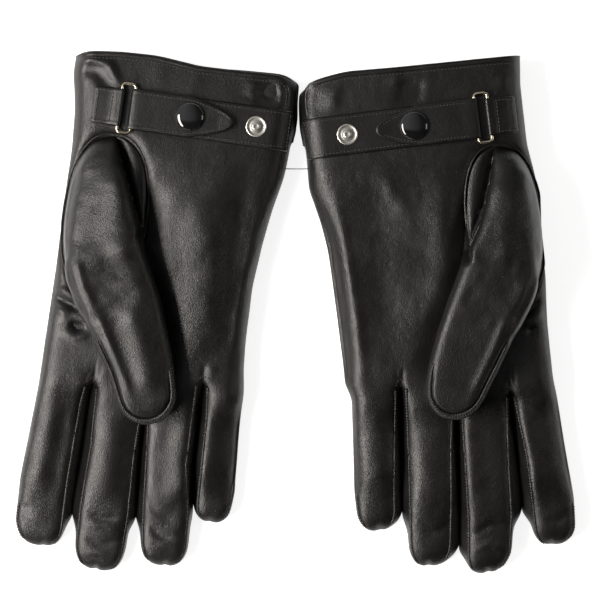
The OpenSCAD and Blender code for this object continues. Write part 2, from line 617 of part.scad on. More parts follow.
for (side = [RIGHT, LEFT], name = PIECES)
    place(side) piece(name, side);
pair_thread();
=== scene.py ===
"""A pair of black leather dress gloves, lying palm up, with snap wrist straps."""

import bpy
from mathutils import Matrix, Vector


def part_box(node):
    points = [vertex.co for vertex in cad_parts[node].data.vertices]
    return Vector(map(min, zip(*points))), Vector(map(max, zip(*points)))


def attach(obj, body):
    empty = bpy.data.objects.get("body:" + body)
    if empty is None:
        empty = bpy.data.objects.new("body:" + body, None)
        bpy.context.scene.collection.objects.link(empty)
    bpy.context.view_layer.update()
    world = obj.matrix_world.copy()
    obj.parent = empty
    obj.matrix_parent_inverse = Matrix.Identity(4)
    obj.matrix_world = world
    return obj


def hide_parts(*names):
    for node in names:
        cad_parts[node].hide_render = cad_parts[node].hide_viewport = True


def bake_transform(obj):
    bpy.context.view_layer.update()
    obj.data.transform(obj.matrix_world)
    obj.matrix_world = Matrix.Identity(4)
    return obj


bl_info = {
    "name": "Leather Dress Gloves",
    "version": (1, 0, 0),
    "blender": (4, 5, 0),
    "location": "View3D > Sidebar > Gloves",
    "description": "Builds a pair of lined leather gloves with snap wrist straps",
    "category": "Add Mesh",
}

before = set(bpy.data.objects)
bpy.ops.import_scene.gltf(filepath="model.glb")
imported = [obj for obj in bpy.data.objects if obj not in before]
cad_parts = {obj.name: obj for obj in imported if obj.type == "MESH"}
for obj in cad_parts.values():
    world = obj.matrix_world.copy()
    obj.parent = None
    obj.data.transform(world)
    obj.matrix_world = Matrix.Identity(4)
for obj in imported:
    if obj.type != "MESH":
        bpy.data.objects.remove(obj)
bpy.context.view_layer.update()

from functools import cache
from math import copysign, cos, degrees, pi, radians, sin, sqrt

import bpy
import numpy as np
from bpy.props import FloatProperty, FloatVectorProperty, PointerProperty
from bpy.types import NodeSocket, Operator, Panel, PropertyGroup
from mathutils import Vector
from mathutils.bvhtree import BVHTree

MM = 0.001
HANDS = ("right", "left")
FINGERS = ("index", "middle", "ring", "little")
GAPS = ("index_middle", "middle_ring", "ring_little")

# -------- sizes
# Millimetres in each glove's own hand frame: fingers to -Y, palm up, index side at -X.
# The right glove is placed as it is and the left one mirrored.

PAIR_GAP = 10.0  # between the gloves where the tack thread holds them
PAIR_SHIFT = -0.5
THREAD_Y = 69.0
LITTLE_X = 50.0  # the little side at the wrist
FLOOR_GAP = 0.05

CUFF = 58.0
VENT_LOW = 30.0  # foot of the slit in the little side of the cuff
VENT_SPREAD = 13.0  # degrees between the slit's lips at the cuff
KNUCKLES = -94.0
HAND_STEP = 4.0  # between the cage's rows
BACK_START = 27  # first point of a hand's ring that lies on the back

FINGER_STEP = 4.6
TIP_DOME = 12.0  # length over which a fingertip rounds off
TIP_POWER = 3.1
TIP_STOPS = (4, 7.2, 9.6, 11.2, 11.9)
BENDS = {"right": (-139.0, -143.0, -139.8, -128.4), "left": (-139.0, -142.8, -139.7, -128.3)}
CUT_BACK = 15.0  # from a finger's bend to where its piece starts

# Size of the leather's waves and their height, on the palm and on the fingers
HAND_WAVES = ((46, 0.3, 0.1), (19, 0.11, 0.12), (8, 0.06, 0.06))
THUMB_WAVES = ((34, 0.45), (14, 0.22), (6.5, 0.1))
STRAP_CALM = 0.85  # share of the waves that is missing under a strap
PALM_CROWN = 1.6  # how high the palm's middle stands over its seams

OVAL_POWER = 2.35  # how square the thumb's seam is
VALLEY = 2.2  # how deep the palm is pressed beside the thumb
HOLE_DEPTH = 7.0
SEAM_GROOVES = ((1.2, 0.9), (0.9, 3.0))  # depth and width
THUMB_DOME = 13.0
THUMB_STOPS = (4.2, 7.6, 10.3, 12, 12.8)
THUMB_ROOT = (0, 0.1, 0.24, 0.4, 0.58, 0.78)  # shares of the way from the seam to the bend
THUMB_LEAN = 9.0  # how far forward the underside of the bend lies
THUMB_LOW = 19.4
THUMB_SAG = 1.4
THUMB_FLOOR = 17.4  # nothing of the thumb's free end lies lower
GUSSET_RISE = 2.8  # rise of the folded leather between the thumb's fold and its seam
CREASE_LOW = 14.6
GUSSET_HIGH = 18.3
OVERHANG = 3.0  # how far the thumb's fold leans over that leather
UNDERCUT = 1.3

LINING_INSET = 2.6
LINING_END = 47.5  # where the lining stops, under the cuff's facing
THUMB_LINING = 2.2
LINING_WAVES = (0.25, 17, 71)  # height, size and seed
FACING_WAVES = (0.12, 11, 91)

PALM_TOP = 20.15  # height of the wrist's face under a strap
SIDE_TURN = 40.0  # where the hand's rounded little side starts
SIDE_Z = 10.0
SIDE_RADIUS = 10.15
TAB_TURN = -45.0  # where the keeper tab starts to follow the index side
LOOP_W = 6.4
LOOP_CORNER = 1.8
WIRE = 1.5
BAR_Z = 21.78
STUD_PITCH = 32.0
POINT_RUN = 20.0  # length of a strap's tapered end

# tilt is the turn of a glove in degrees, thread_at where the thread holds it and flip -1
# for the mirrored one. strap_y is a strap's middle, bar_in the bar that its tail turns
# round and snap_x its snap. Sides are x at each y, and the cuff's edges y at each x.
# crotch is the foot of each slot between fingers, and meet how far along them neighbours
# touch. oval is the middle and radii of the thumb's seam. A fold is its points, its half
# width and its height, down where negative. A finger or thumb is its middle line, with
# its width at each stop.

RIGHT = {
    "tilt": 8.0, "thread_at": 16.0, "flip": 1, "strap_y": 33.5, "bar_in": -26.5, "snap_x": 1.0,
    "hand_seed": 11, "thumb_seed": 31,
    "index_side": [(60, -58.6), (50, -58.8), (42, -57.4), (30, -55.6), (13, -54.6), (-45, -54.2),
                   (-94, -54.6)],
    "little_side": [(60, 50.2), (48, 51.0), (39, 52.1), (34, 51.3), (19, 51.0), (11, 50.2),
                    (-4, 46.8), (-23, 44.2), (-44, 42.4), (-72, 42.9), (-94, 44.6)],
    "cuff_edge": [(-59, 54.5), (-52, 58), (-36, 59.6), (-18, 60.2), (2, 58), (21, 58.4), (41, 59),
                  (47, 57), (50, 50)],
    "back_edge": [(-59, 54), (-36, 58.5), (0, 58), (20, 60), (43, 61), (50, 57)],
    "crotch": [(-27.4, -98.2), (-1.5, -97.5), (24.8, -90.5)],
    "meet": [-166, -163, -157],
    "fingers": [
        [(-94, -41.8, 25), (-110, -43.2, 23.4), (-150, -44.9, 24.6), (-170, -44.4, 24),
         (-180.5, -43, 20)],
        [(-96, -14.3, 24.4), (-131, -14, 22.9), (-159, -13.9, 24.8), (-178, -13.8, 23.6),
         (-188.4, -13.4, 20)],
        [(-94, 10.6, 24), (-132, 12.5, 21.2), (-155, 15.4, 23.4), (-172, 16.7, 22.4),
         (-182, 17, 19)],
        [(-88, 35.6, 19.5), (-110, 36.7, 17.4), (-142, 38.2, 18.4), (-152, 38, 17.6),
         (-158, 37.6, 16)],
    ],
    "oval": (-33.1, -18.5, 19.7, 39.0),
    "fold_line": [(-34.5, 18), (-28.4, 4), (-23, -8), (-17.8, -20), (-14, -29)],
    "thumb": [(-31.3, -37, 41), (-27, -46, 41), (-17.5, -62, 38.5), (-12, -74, 36),
              (-6.2, -86, 33), (-1, -101, 30), (3.8, -114.2, 27)],
    "palm_folds": [
        ([(-58, 52), (-49, 54.5), (-41, 53.2), (-34, 43.5)], 1.9, 1.6),
        ([(-55, 48), (-47, 49), (-42, 45), (-39, 41)], 2.8, -1.1),
        ([(33.4, 50.4), (37.2, 51.2)], 4.6, -1.9),
        ([(40, 55), (43.4, 51), (43, 45.5)], 1.9, 0.8),
        ([(30, 46), (31.5, 55)], 4.0, 1.6),
        ([(-30, -66), (-2, -60), (10, -84)], 9.0, -1.0),
        ([(10, 12), (14, -12), (21, -42), (26, -80)], 14.0, 2.9),
        ([(-8, 6), (-10, -24), (-6, -52), (0, -80)], 6.0, -0.9),
        ([(33, 10), (30, -20), (31, -58), (34, -82)], 6.0, -1.3),
        ([(43, 8), (39, -20), (37, -58), (38, -84)], 2.0, 0.7),
        ([(-52, -60), (-44, -63), (-37, -66)], 1.5, -1.9),
        ([(-51, -56), (-45, -58), (-41, -61)], 1.6, 1.1),
        ([(-50, -66.5), (-44, -68)], 1.7, 0.9),
        ([(-42, -71), (-38.5, -73.5), (-35, -73)], 1.9, -2.6),
        ([(-46, -76), (-39, -79), (-32, -76)], 1.4, 0.7),
        ([(-27.5, -97), (-30.5, -91)], 0.9, -0.7),
        ([(-27, -97), (-27.5, -90)], 0.9, -0.7),
        ([(-26.5, -97), (-23.5, -90.5)], 0.9, -0.7),
        ([(-29.5, -97), (-34.5, -93)], 0.9, -0.6),
        ([(24.8, -89), (24, -83)], 1.7, -0.5),
        ([(26, -88), (30, -83)], 2.2, 0.5),
        ([(-22, -161.5), (-14, -163.5), (-6, -161)], 1.6, -0.6),
        ([(-23, -167), (-12, -166), (-5, -168.5)], 1.5, 0.5),
        ([(-22, -173), (-14, -175.5), (-5, -173)], 1.7, -0.7),
        ([(-20, -181), (-14, -179.5), (-8, -181)], 1.3, 0.45),
        ([(5, -150), (12, -157), (21, -160)], 1.6, -0.55),
        ([(8, -163), (15, -168), (22, -168)], 1.7, -0.6),
        ([(-53, -160), (-51, -170)], 3.0, -0.8),
        ([(-45, -100), (-46, -130), (-48, -160)], 4.5, 1.0),
        ([(-38, -104), (-39, -130), (-40, -160)], 3.0, -0.5),
        ([(-17, -106), (-16, -130), (-16, -158)], 5.0, 0.7),
        ([(-6, -104), (-6, -130), (-6, -158)], 4.0, -0.7),
        ([(18, -103), (18.5, -130), (22, -154)], 6.0, 1.2),
        ([(24.5, -98), (26, -125), (27.5, -150)], 7.0, 2.4),
        ([(46, -94), (46.5, -125), (47, -152)], 9.0, -3.0),
    ],
    "thumb_folds": [
        ([(-32.8, 17), (-27.2, 4), (-21.8, -8), (-16.8, -20), (-13, -29)], 1.9, -1.8),
        ([(-49, 4), (-50, -18), (-47, -40)], 2.4, -0.8),
        ([(-48, -42), (-41, -58), (-33, -70)], 1.8, -1.0),
        ([(-43, -40), (-37, -54), (-30, -64)], 1.8, 0.7),
        ([(-31, -62), (-19.5, -82), (-7, -104)], 2.2, 0.9),
        ([(-30, 8), (-25.5, -14), (-19.5, -42)], 8.0, 2.5),
        ([(-50, 4), (-48, -18), (-44, -42)], 8.0, -1.6),
        ([(-15.5, -56), (-5.5, -80), (2.5, -102)], 6.5, 1.8),
    ],
}
LEFT = {
    "tilt": 7.0, "thread_at": 17.5, "flip": -1, "strap_y": 31.0, "bar_in": -33.0, "snap_x": -3.0,
    "hand_seed": 23, "thumb_seed": 47,
    "index_side": [(60, -59.2), (45, -57.6), (16.5, -57.2), (4, -59), (-8, -60.2), (-24, -58.8),
                   (-47, -58.4), (-70, -56.6), (-94, -55.8)],
    "little_side": [(60, 49.0), (54, 50.4), (40, 51.1), (34, 50.5), (20, 50.6), (7, 51.2),
                    (0, 49.4), (-11.5, 47.2), (-23.5, 45.7), (-46, 45.2), (-81, 45), (-94, 45.6)],
    "cuff_edge": [(-59, 58.4), (-28, 59), (0, 59.6), (26, 60.6), (40, 58.8), (46, 56.5),
                  (49.5, 50)],
    "back_edge": [(-59, 58), (-28, 60), (0, 60.4), (20, 59.4), (43, 58), (50, 53)],
    "crotch": [(-34.2, -100.3), (-8, -98), (17.2, -90.5)],
    "meet": [-161.5, -176, -157],
    "fingers": [
        [(-96, -45.2, 22.4), (-132, -47.4, 20.6), (-155, -48.2, 21.6), (-170, -47.6, 20.6),
         (-177, -47, 18)],
        [(-96, -21.4, 24), (-137, -18.4, 22.6), (-160, -17, 22.6), (-178, -14.4, 21.4),
         (-186.6, -12, 18)],
        [(-94, 4.6, 24), (-125, 8, 22.2), (-152, 10.8, 21.6), (-170, 12.9, 20.6),
         (-180, 13.6, 18)],
        [(-90, 31, 23), (-117, 34, 21.6), (-140, 36.6, 20.8), (-152, 37.2, 19.6), (-160, 37, 17)],
    ],
    "oval": (-41.0, -20.5, 18.2, 38.0),
    "fold_line": [(-41.5, 15), (-39, 4), (-34.5, -9), (-29.5, -21), (-24.4, -30), (-20.5, -38)],
    "thumb": [(-36.6, -41, 39.5), (-32, -50, 39), (-23, -65, 37), (-15.5, -79, 35),
              (-9.5, -91, 32), (-5.5, -101, 28.5), (-3.2, -110.4, 26)],
    "palm_folds": [
        ([(4, 52), (-4, 50), (-12, 48)], 7.5, -1.0),
        ([(-14, 53), (-4, 55), (8, 53)], 2.2, 0.6),
        ([(30, 55), (34, 49), (33, 43)], 2.4, 0.8),
        ([(40, 54), (42, 47), (41, 41)], 2.6, -0.6),
        ([(-46, 50), (-50, 44)], 3.0, 0.5),
        ([(-14, 8), (-11, -14), (-10, -40), (-2, -66)], 8.0, 1.5),
        ([(16, 14), (10, -2), (2, -14)], 4.0, 0.6),
        ([(22, 12), (20, -20), (22, -58), (26, -82)], 11.0, -1.3),
        ([(39, 10), (36.5, -20), (35, -60), (36, -96)], 2.2, 0.8),
        ([(47, 12), (43.6, -20), (42.6, -60), (43.4, -100)], 3.4, -2.2),
        ([(-54, -58), (-48, -63), (-42, -66)], 1.6, -1.9),
        ([(-55, -64), (-48, -68), (-42, -70)], 1.5, 0.9),
        ([(-50, -72), (-45, -74)], 1.9, -1.4),
        ([(-34.4, -99), (-37, -93)], 0.9, -0.7),
        ([(-34, -99), (-33.4, -92)], 0.9, -0.7),
        ([(-33.6, -99), (-30, -93)], 0.9, -0.6),
        ([(17.2, -89), (16, -84)], 0.9, -0.6),
        ([(17.6, -89), (21, -85)], 0.9, -0.5),
        ([(-26, -166), (-17, -163), (-8, -167)], 1.6, -0.55),
        ([(-24, -176), (-15, -172), (-7, -175)], 1.7, 0.5),
        ([(2, -160), (9, -164), (18, -162)], 1.7, -0.4),
        ([(-57, -160), (-49, -166), (-41, -163)], 1.7, -0.45),
        ([(31, -96), (33, -120), (35, -148)], 5.0, 0.7),
        ([(46, -100), (46, -125), (46.5, -150)], 4.5, -1.8),
        ([(5, -104), (7.5, -126), (10, -152)], 5.5, 0.4),
        ([(17, -104), (18.5, -126), (21, -152)], 4.0, -1.3),
        ([(-57, -98), (-59, -130), (-60, -160)], 9.0, -2.6),
        ([(-35, -104), (-37, -130), (-38, -160)], 6.0, 1.6),
        ([(-9, -104), (-7, -130), (-5, -158)], 6.5, 1.4),
    ],
    "thumb_folds": [
        ([(-40.5, 13.5), (-37.5, 2), (-32.5, -12), (-22, -31)], 2.3, -1.6),
        ([(-55, 2), (-56, -20), (-53, -42)], 2.4, -0.7),
        ([(-53, -44), (-45, -58), (-36, -72)], 1.8, -0.9),
        ([(-37, -62), (-26, -82), (-13, -102)], 2.2, 0.8),
        ([(-45, 2), (-42, -18), (-35.5, -40)], 7.0, 1.2),
        ([(-50, -30), (-42, -36), (-38, -46)], 2.4, -0.4),
    ],
}
LAY = {"right": RIGHT, "left": LEFT}


def smooth(a, b, v):
    """0 to 1 as v goes from a to b, with soft ends."""
    u = np.clip((np.asarray(v, float) - a) / (b - a), 0, 1)
    return u * u * (3 - 2 * u)


def mix(a, b, u):
    return a + (b - a) * u


def along(table, v, column=1):
    """A table's column at v, which its first column holds."""
    rows = sorted(table)
    return np.interp(v, [r[0] for r in rows], [r[column] for r in rows])


def place(hand, points):
    """Millimetres in a hand's own frame to metres in the pair's."""
    lay = LAY[hand]
    p = np.asarray(points, float).reshape(-1, 3)
    turn = radians(lay["tilt"])
    x, y = p[:, 0] - LITTLE_X, p[:, 1] - lay["thread_at"]
    x, y = (lay["flip"] * (x * cos(turn) + y * sin(turn) - PAIR_GAP / 2) + PAIR_SHIFT,
            y * cos(turn) - x * sin(turn) + THREAD_Y)
    return np.stack([x, y, p[:, 2]], axis=1) * MM


def at(hand, x, y, z):
    return Vector(place(hand, [(x, y, z)])[0])


# -------- lines and meshes


def unit(v):
    """Each row at a length of one."""
    return v / np.maximum(np.linalg.norm(v, axis=1, keepdims=True), 1e-9)


def distances(p):
    """How far along a line each of its points lies."""
    return np.concatenate([[0], np.cumsum(np.linalg.norm(np.diff(p, axis=0), axis=1))])


def sampled(p, s, run):
    """Rows of p, which belong to the distances in run, at each distance in s."""
    return np.stack([np.interp(s, run, p[:, k]) for k in range(p.shape[1])], axis=1)


def resample(points, step):
    """Points at even steps along a line."""
    pts = np.asarray(points, float)
    run = distances(pts)
    count = max(2, int(round(run[-1] / step)) + 1)
    return sampled(pts, np.linspace(0, run[-1], count), run)


def tangents(p):
    return unit(np.gradient(p, axis=0))


def corner_normals(v, quads):
    """Unit normal of each vertex of a mesh of quads."""
    n = np.cross(v[quads[:, 2]] - v[quads[:, 0]], v[quads[:, 3]] - v[quads[:, 1]])
    out = np.zeros_like(v)
    for k in range(4):
        np.add.at(out, quads[:, k], n)
    return unit(out)


def fold(p, points, width, height, taper=0.3):
    """Height of a soft ridge or valley along a line of points, at each of p."""
    pts = np.asarray(points, float)
    reach = 3.2 * width
    near = np.all((p > pts.min(0) - reach) & (p < pts.max(0) + reach), axis=1)
    out = np.zeros(len(p))
    if not near.any():
        return out
    q = p[near]
    lengths = np.linalg.norm(np.diff(pts, axis=0), axis=1)
    total, run = lengths.sum(), 0.0
    best, share = np.full(len(q), np.inf), np.zeros(len(q))
    for a, b, size in zip(pts[:-1], pts[1:], lengths):
        u = np.clip(((q - a) @ (b - a)) / size**2, 0, 1)
        gap = np.linalg.norm(q - (a + u[:, None] * (b - a)), axis=1)
        closer = gap < best
        best = np.where(closer, gap, best)
        share = np.where(closer, (run + u * size) / total, share)
        run += size
    fade = smooth(0, taper, share) * smooth(0, taper, 1 - share)
    fade = mix(0.15, 1.0, fade) if total > 2 * width else 1.0
    out[near] = height * np.exp(-((best / width) ** 2)) * fade
    return out


def rumple(p, size, seed):
    """Smooth uneven waves of about that size, between about -1 and 1."""
    rng = np.random.RandomState(seed)
    out = np.zeros(len(p))
    for _ in range(9):
        k = rng.normal(size=3)
        k *= 2 * pi / (size * rng.uniform(0.7, 1.5) * np.linalg.norm(k))
        bend = rng.normal(size=3) * 2 * pi / (size * 2.6)
        out += np.sin(p @ k + rng.uniform(0, 6.28) + 1.1 * np.sin(p @ bend + rng.uniform(0, 6.28)))
    return out / 4.0


def waved(p, normals, height, size, seed):
    return p + normals * (height * rumple(p, size, seed))[:, None]


def grid(rows, cols, closed=False):
    """Quads between rows of points, each cols long and joined round where closed."""
    i, j = np.indices((rows - 1, cols if closed else cols - 1)).reshape(2, -1)
    a, b = i * cols + j, i * cols + (j + 1) % cols
    return np.stack([a, b, b + cols, a + cols], axis=1)


def fan(ring, centre):
    """Quads that close a ring of points round one in its middle."""
    count = len(ring)
    return [(ring[j], ring[j + 1], ring[(j + 2) % count], centre) for j in range(0, count, 2)]


def compact(v, quads):
    """Only the points that the quads use."""
    used, inverse = np.unique(quads, return_inverse=True)
    return v[used], inverse.reshape(quads.shape)


def only(*objects):
    """Object mode, with nothing else selected."""
    if bpy.context.mode != "OBJECT":
        bpy.ops.object.mode_set(mode="OBJECT")
    bpy.ops.object.select_all(action="DESELECT")
    for obj in objects:
        obj.select_set(True)
        bpy.context.view_layer.objects.active = obj


def subdivided(verts, faces, tags, levels):
    """Catmull-Clark copy of a cage, as arrays: points, quads and their tags."""
    mesh = bpy.data.meshes.new("cage")
    mesh.from_pydata([tuple(v) for v in verts], [], [tuple(f) for f in faces])
    mesh.polygons.foreach_set("material_index", np.asarray(tags, np.int32))
    obj = bpy.data.objects.new("cage", mesh)
    bpy.context.scene.collection.objects.link(obj)
    only(obj)
    rounding = obj.modifiers.new("Round", "SUBSURF")
    rounding.levels = rounding.render_levels = levels
    bpy.ops.object.modifier_apply(modifier=rounding.name)
    mesh = obj.data
    v = np.empty(len(mesh.vertices) * 3)
    mesh.vertices.foreach_get("co", v)
    f = np.empty(len(mesh.loops), np.int32)
    mesh.loops.foreach_get("vertex_index", f)
    t = np.empty(len(mesh.polygons), np.int32)
    mesh.polygons.foreach_get("material_index", t)
    bpy.data.objects.remove(obj)
    bpy.data.meshes.remove(mesh)
    return v.reshape(-1, 3), f.reshape(-1, 4), t


class Hide:
    """Points, faces and material numbers of one piece, in a hand's own frame."""

    def __init__(self, verts=(), faces=()):
        self.v, self.f, self.m, self.n = [], [], [], 0
        self.add(verts, faces)

    def add(self, verts, faces, material=0):
        verts = np.asarray(verts, float).reshape(-1, 3)
        if len(verts):
            self.v.append(verts)
            self.cap((np.asarray(faces, np.int64) + self.n).tolist(), material)
            self.n += len(verts)

    def cap(self, faces, material=0):
        """Adds faces between points that are already there."""
        self.f.extend(faces)
        self.m.extend([material] * len(faces))

    def build(self, name, hand, materials):
        """The finished object; without a hand its points are in metres already."""
        faces, verts = self.f, np.concatenate(self.v)
        if hand:
            if LAY[hand]["flip"] < 0:
                faces = [face[::-1] for face in faces]
            verts[:, 2] = np.maximum(verts[:, 2], FLOOR_GAP)
            verts = place(hand, verts)
        mesh = bpy.data.meshes.new(name)
        mesh.from_pydata(verts.tolist(), [], faces)
        for material in materials:
            mesh.materials.append(finish(material))
        mesh.polygons.foreach_set("material_index", np.asarray(self.m, np.int32))
        mesh.polygons.foreach_set("use_smooth", [True] * len(faces))
        mesh.update()
        obj = bpy.data.objects.new(name, mesh)
        bpy.context.scene.collection.objects.link(obj)
        return obj


def own(obj, slot, body, *nodes):
    """Hides the CAD nodes that a piece stands for and hangs the piece on its body, if it has one.
    The slot is not used.
    """
    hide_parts(*nodes)
    if body:
        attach(obj, body)


# -------- cage of the hand

# Side and angle of each point round a finger, from its index side over the palm face
RING = ((1, 50), (1, 25), (1, 0), (0, 0), (-1, 0), (-1, -25), (-1, -50), (-1, -90),
        (-1, -130), (-1, -155), (-1, -180), (0, 180), (1, 180), (1, 155), (1, 130), (1, 90))
BETWEEN = (0.12, 0.32, 0.5, 0.68, 0.88, 1.0)  # shares of the way from crotch to crotch
PALM_START = 19  # first point of a hand's ring over the index finger


def hand_height(y):
    shape = bpy.context.scene.glove_shape
    return mix(shape.cuff_height / MM, shape.knuckle_height / MM, smooth(14, KNUCKLES, y))


def side_lines(lay, y):
    """Middles of the hand's two rounded sides at y, and their radius."""
    r = hand_height(y) / 2
    return along(lay["little_side"], y) - r, along(lay["index_side"], y) + r, r


def palm_columns(lay):
    """Shares of the way across the palm at which the cage has its columns."""
    near, far, _ = side_lines(lay, KNUCKLES)
    index, middle, little = [x for x, _ in lay["crotch"]]
    xs = [near] + [mix(near, little, u) for u in (0.45, 0.68, 0.88, 1.0)]
    xs += [mix(little, middle, u) for u in BETWEEN] + [mix(middle, index, u) for u in BETWEEN]
    xs += [mix(index, far, u) for u in (0.12, 0.32, 0.6, 1.0)]
    return [(near - x) / (near - far) for x in xs]


def hand_ring(lay, shares, y, inset, gap):
    """The hand's outline at y, from its little-side seam over the palm and back."""
    near, far, r = side_lines(lay, y)
    q = r - inset

    def side(x, way, degrees):
        a = radians(degrees)
        return (x + way * q * sin(a), y, r + q * cos(a))

    top = [(mix(near, far, u), y, r + q) for u in shares]
    low = [(mix(near, far, u), y, r - q) for u in reversed(shares)]
    return ([side(near, 1, a) for a in (90 - gap, 50 - gap / 3, 25)] + top
            + [side(far, -1, a) for a in (25, 50, 90, 130, 155)] + low
            + [side(near, 1, a) for a in (155, 130 + gap / 3, 90 + gap)])


def vent_gap(y):
    """Degrees by which the slit in the cuff stands open at y."""
    return VENT_SPREAD * smooth(VENT_LOW - 4, CUFF, y)


def cuffed(lay, ring, share):
    """A ring moved towards the cuff's uneven edge by that share."""
    edges = [lay["cuff_edge"]] * BACK_START + [lay["back_edge"]] * (len(ring) - BACK_START)
    return [(x, y + share * (along(edge, x) - CUFF), z) for (x, y, z), edge in zip(ring, edges)]


def crotch_line(lay, x):
    """Where the hand ends and its fingers start."""
    (a, ya), (b, yb), (c, yc) = lay["crotch"]
    return np.interp(x, [-54, a, b, c, 44], [ya + 4, ya, yb, yc, yc + 2.5])


def finger_height(y, bend, tip):
    shape = bpy.context.scene.glove_shape
    start = mix(shape.knuckle_height / MM, shape.finger_height / MM, smooth(-96, -114, y))
    return mix(start, shape.tip_height / MM, smooth(bend, tip + TIP_DOME, y))


def finger_side(lay, k, side, y):
    """How far a finger's side strip stands out past its seam, and at what share of
    its height, so that neighbours close the slot between them."""
    gap = k - 1 if side < 0 else k
    if gap < 0 or gap > 2:
        return None
    near, far = lay["fingers"][gap], lay["fingers"][gap + 1]
    low, high = along(near, y) + along(near, y, 2) / 2, along(far, y) - along(far, y, 2) / 2
    half = max(0.3, (high - low) / 2)
    crotch, meet = lay["crotch"][gap][1], lay["meet"][gap]
    over = min(0.45, 0.15 * half) * smooth(crotch - 2, crotch - 12, y)
    over += 0.9 * smooth(crotch - 15, crotch - 7, y)
    out = mix(1.4 * (half + over) + 0.15, 0.9, smooth(meet + 3, meet - 5, y))
    return out, 0.27 if side < 0 else 0.15


def tip_share(ys, tip):
    """Share of its full width that a finger has at ys."""
    d = np.clip((tip + TIP_DOME - ys) / TIP_DOME, 0, 1)
    return (1 - d**TIP_POWER) ** (1 / TIP_POWER)


def finger_ring(lay, k, y, bend, tip, inset):
    """The outline of a finger at y, with the side strips that face its neighbours."""
    rows = lay["fingers"][k]
    d = max(0.0, min(1.0, (tip + TIP_DOME - y) / TIP_DOME))
    wide = along(rows, y, 2) * tip_share(y, tip)
    tall = sqrt(max(0.0, 1 - d * d))
    full = finger_height(y, bend, tip)
    h = max(0.4, full * tall - 2 * inset)
    w, r, mid = max(0.3, wide / 2 - inset), h / 2, full / 2
    cx = along(rows, y)
    out = []
    for a, b in RING:
        strip = finger_side(lay, k, a, y) if a else None
        if strip is None:
            x = a * (max(0.1, w - r) + r * abs(sin(radians(b))))
            z = mid + r * cos(radians(b))
        else:
            bulge, share = strip[0] * tall, strip[1]
            inward, rise = {50: (0.2, 0.27), 25: (1.7, 0.41), 0: (4.6, 0.49),
                            90: (-bulge, share - 0.5), 130: (0.4 - 0.3 * bulge, -0.34),
                            155: (2.2, -0.47), 180: (5, -0.5)}[abs(b)]
            x, z = a * max(0.15 * w, w - inward), mid + h * rise
        out.append((cx + x, y, z))
    return out


def finger_rows(lay, k, hand, inset):
    """Where a finger has its rings, which of them ends the hand's piece, its bend and tip."""
    start = min(lay["crotch"][c][1] for c in (max(0, k - 1), min(2, k))) - 3.5
    tip, bend = lay["fingers"][k][-1][0] + inset, BENDS[hand][k]
    cut, dome = bend + CUT_BACK, tip + TIP_DOME
    upper = np.linspace(start, cut, max(3, round((start - cut) / FINGER_STEP) + 1))
    lower = np.linspace(cut, dome, max(4, round((cut - dome) / FINGER_STEP) + 1))
    return [*upper, *lower[1:], *(dome - d for d in TIP_STOPS)], len(upper) - 1, bend, tip


def hand_cage(hand, inset, top=None, vent=True):
    """Points, faces and tags of the leather or lining of one hand; tag 0 is the hand
    and 1 to 4 are the fingers from just before their middle joints."""
    lay = LAY[hand]
    shares = palm_columns(lay)
    verts, faces, tags = [], [], []

    def put(points):
        verts.extend(points)
        return list(range(len(verts) - len(points), len(verts)))

    def join(a, b, tag):
        more = [(a[j], a[j + 1], b[j + 1], b[j]) for j in range(len(a) - 1)]
        faces.extend(more)
        tags.extend([tag] * len(more))

    first = CUFF if top is None else top
    row = None
    for y in [first, first - 1.6, *np.arange(first - 5, -85, -HAND_STEP), KNUCKLES]:
        ring = hand_ring(lay, shares, y, inset, vent_gap(y) if vent else 0.0)
        if y == KNUCKLES:
            ring = [(x, crotch_line(lay, x), z) for x, _, z in ring]
        elif top is None:
            ring = cuffed(lay, ring, smooth(20, CUFF, y))
        ids = put(ring[:-1])
        last, row = row, ids + (put(ring[-1:]) if vent and y > VENT_LOW else ids[:1])
        if last:
            join(last, row, 0)
    mids = put([(x, y - 2.2, 0.3 * hand_height(KNUCKLES)) for x, y in lay["crotch"]])
    wide = len(BETWEEN)
    for k in range(4):
        # the palm's and the back's part of a finger's first ring, and what is between
        palm, back = PALM_START - wide * k, BACK_START + wide * k
        low_side = row[BACK_START - 1] if k == 0 else mids[k - 1]
        high_side = row[0] if k == 3 else mids[k]
        ring = row[palm:palm + wide + 1] + [low_side]
        ring += row[back:back + wide + 1] + [high_side]
        rows, cut, bend, tip = finger_rows(lay, k, hand, inset)
        for i, y in enumerate(rows):
            new = put(finger_ring(lay, k, y, bend, tip, inset))
            join(ring + ring[:1], new + new[:1], k + 1 if i > cut else 0)
            ring = new
        centre = np.mean([verts[i] for i in ring], axis=0) - (0, 0.1, 0)
        end = fan(ring, put([tuple(centre)])[0])
        faces.extend(end)
        tags.extend([k + 1] * len(end))
    return verts, faces, tags


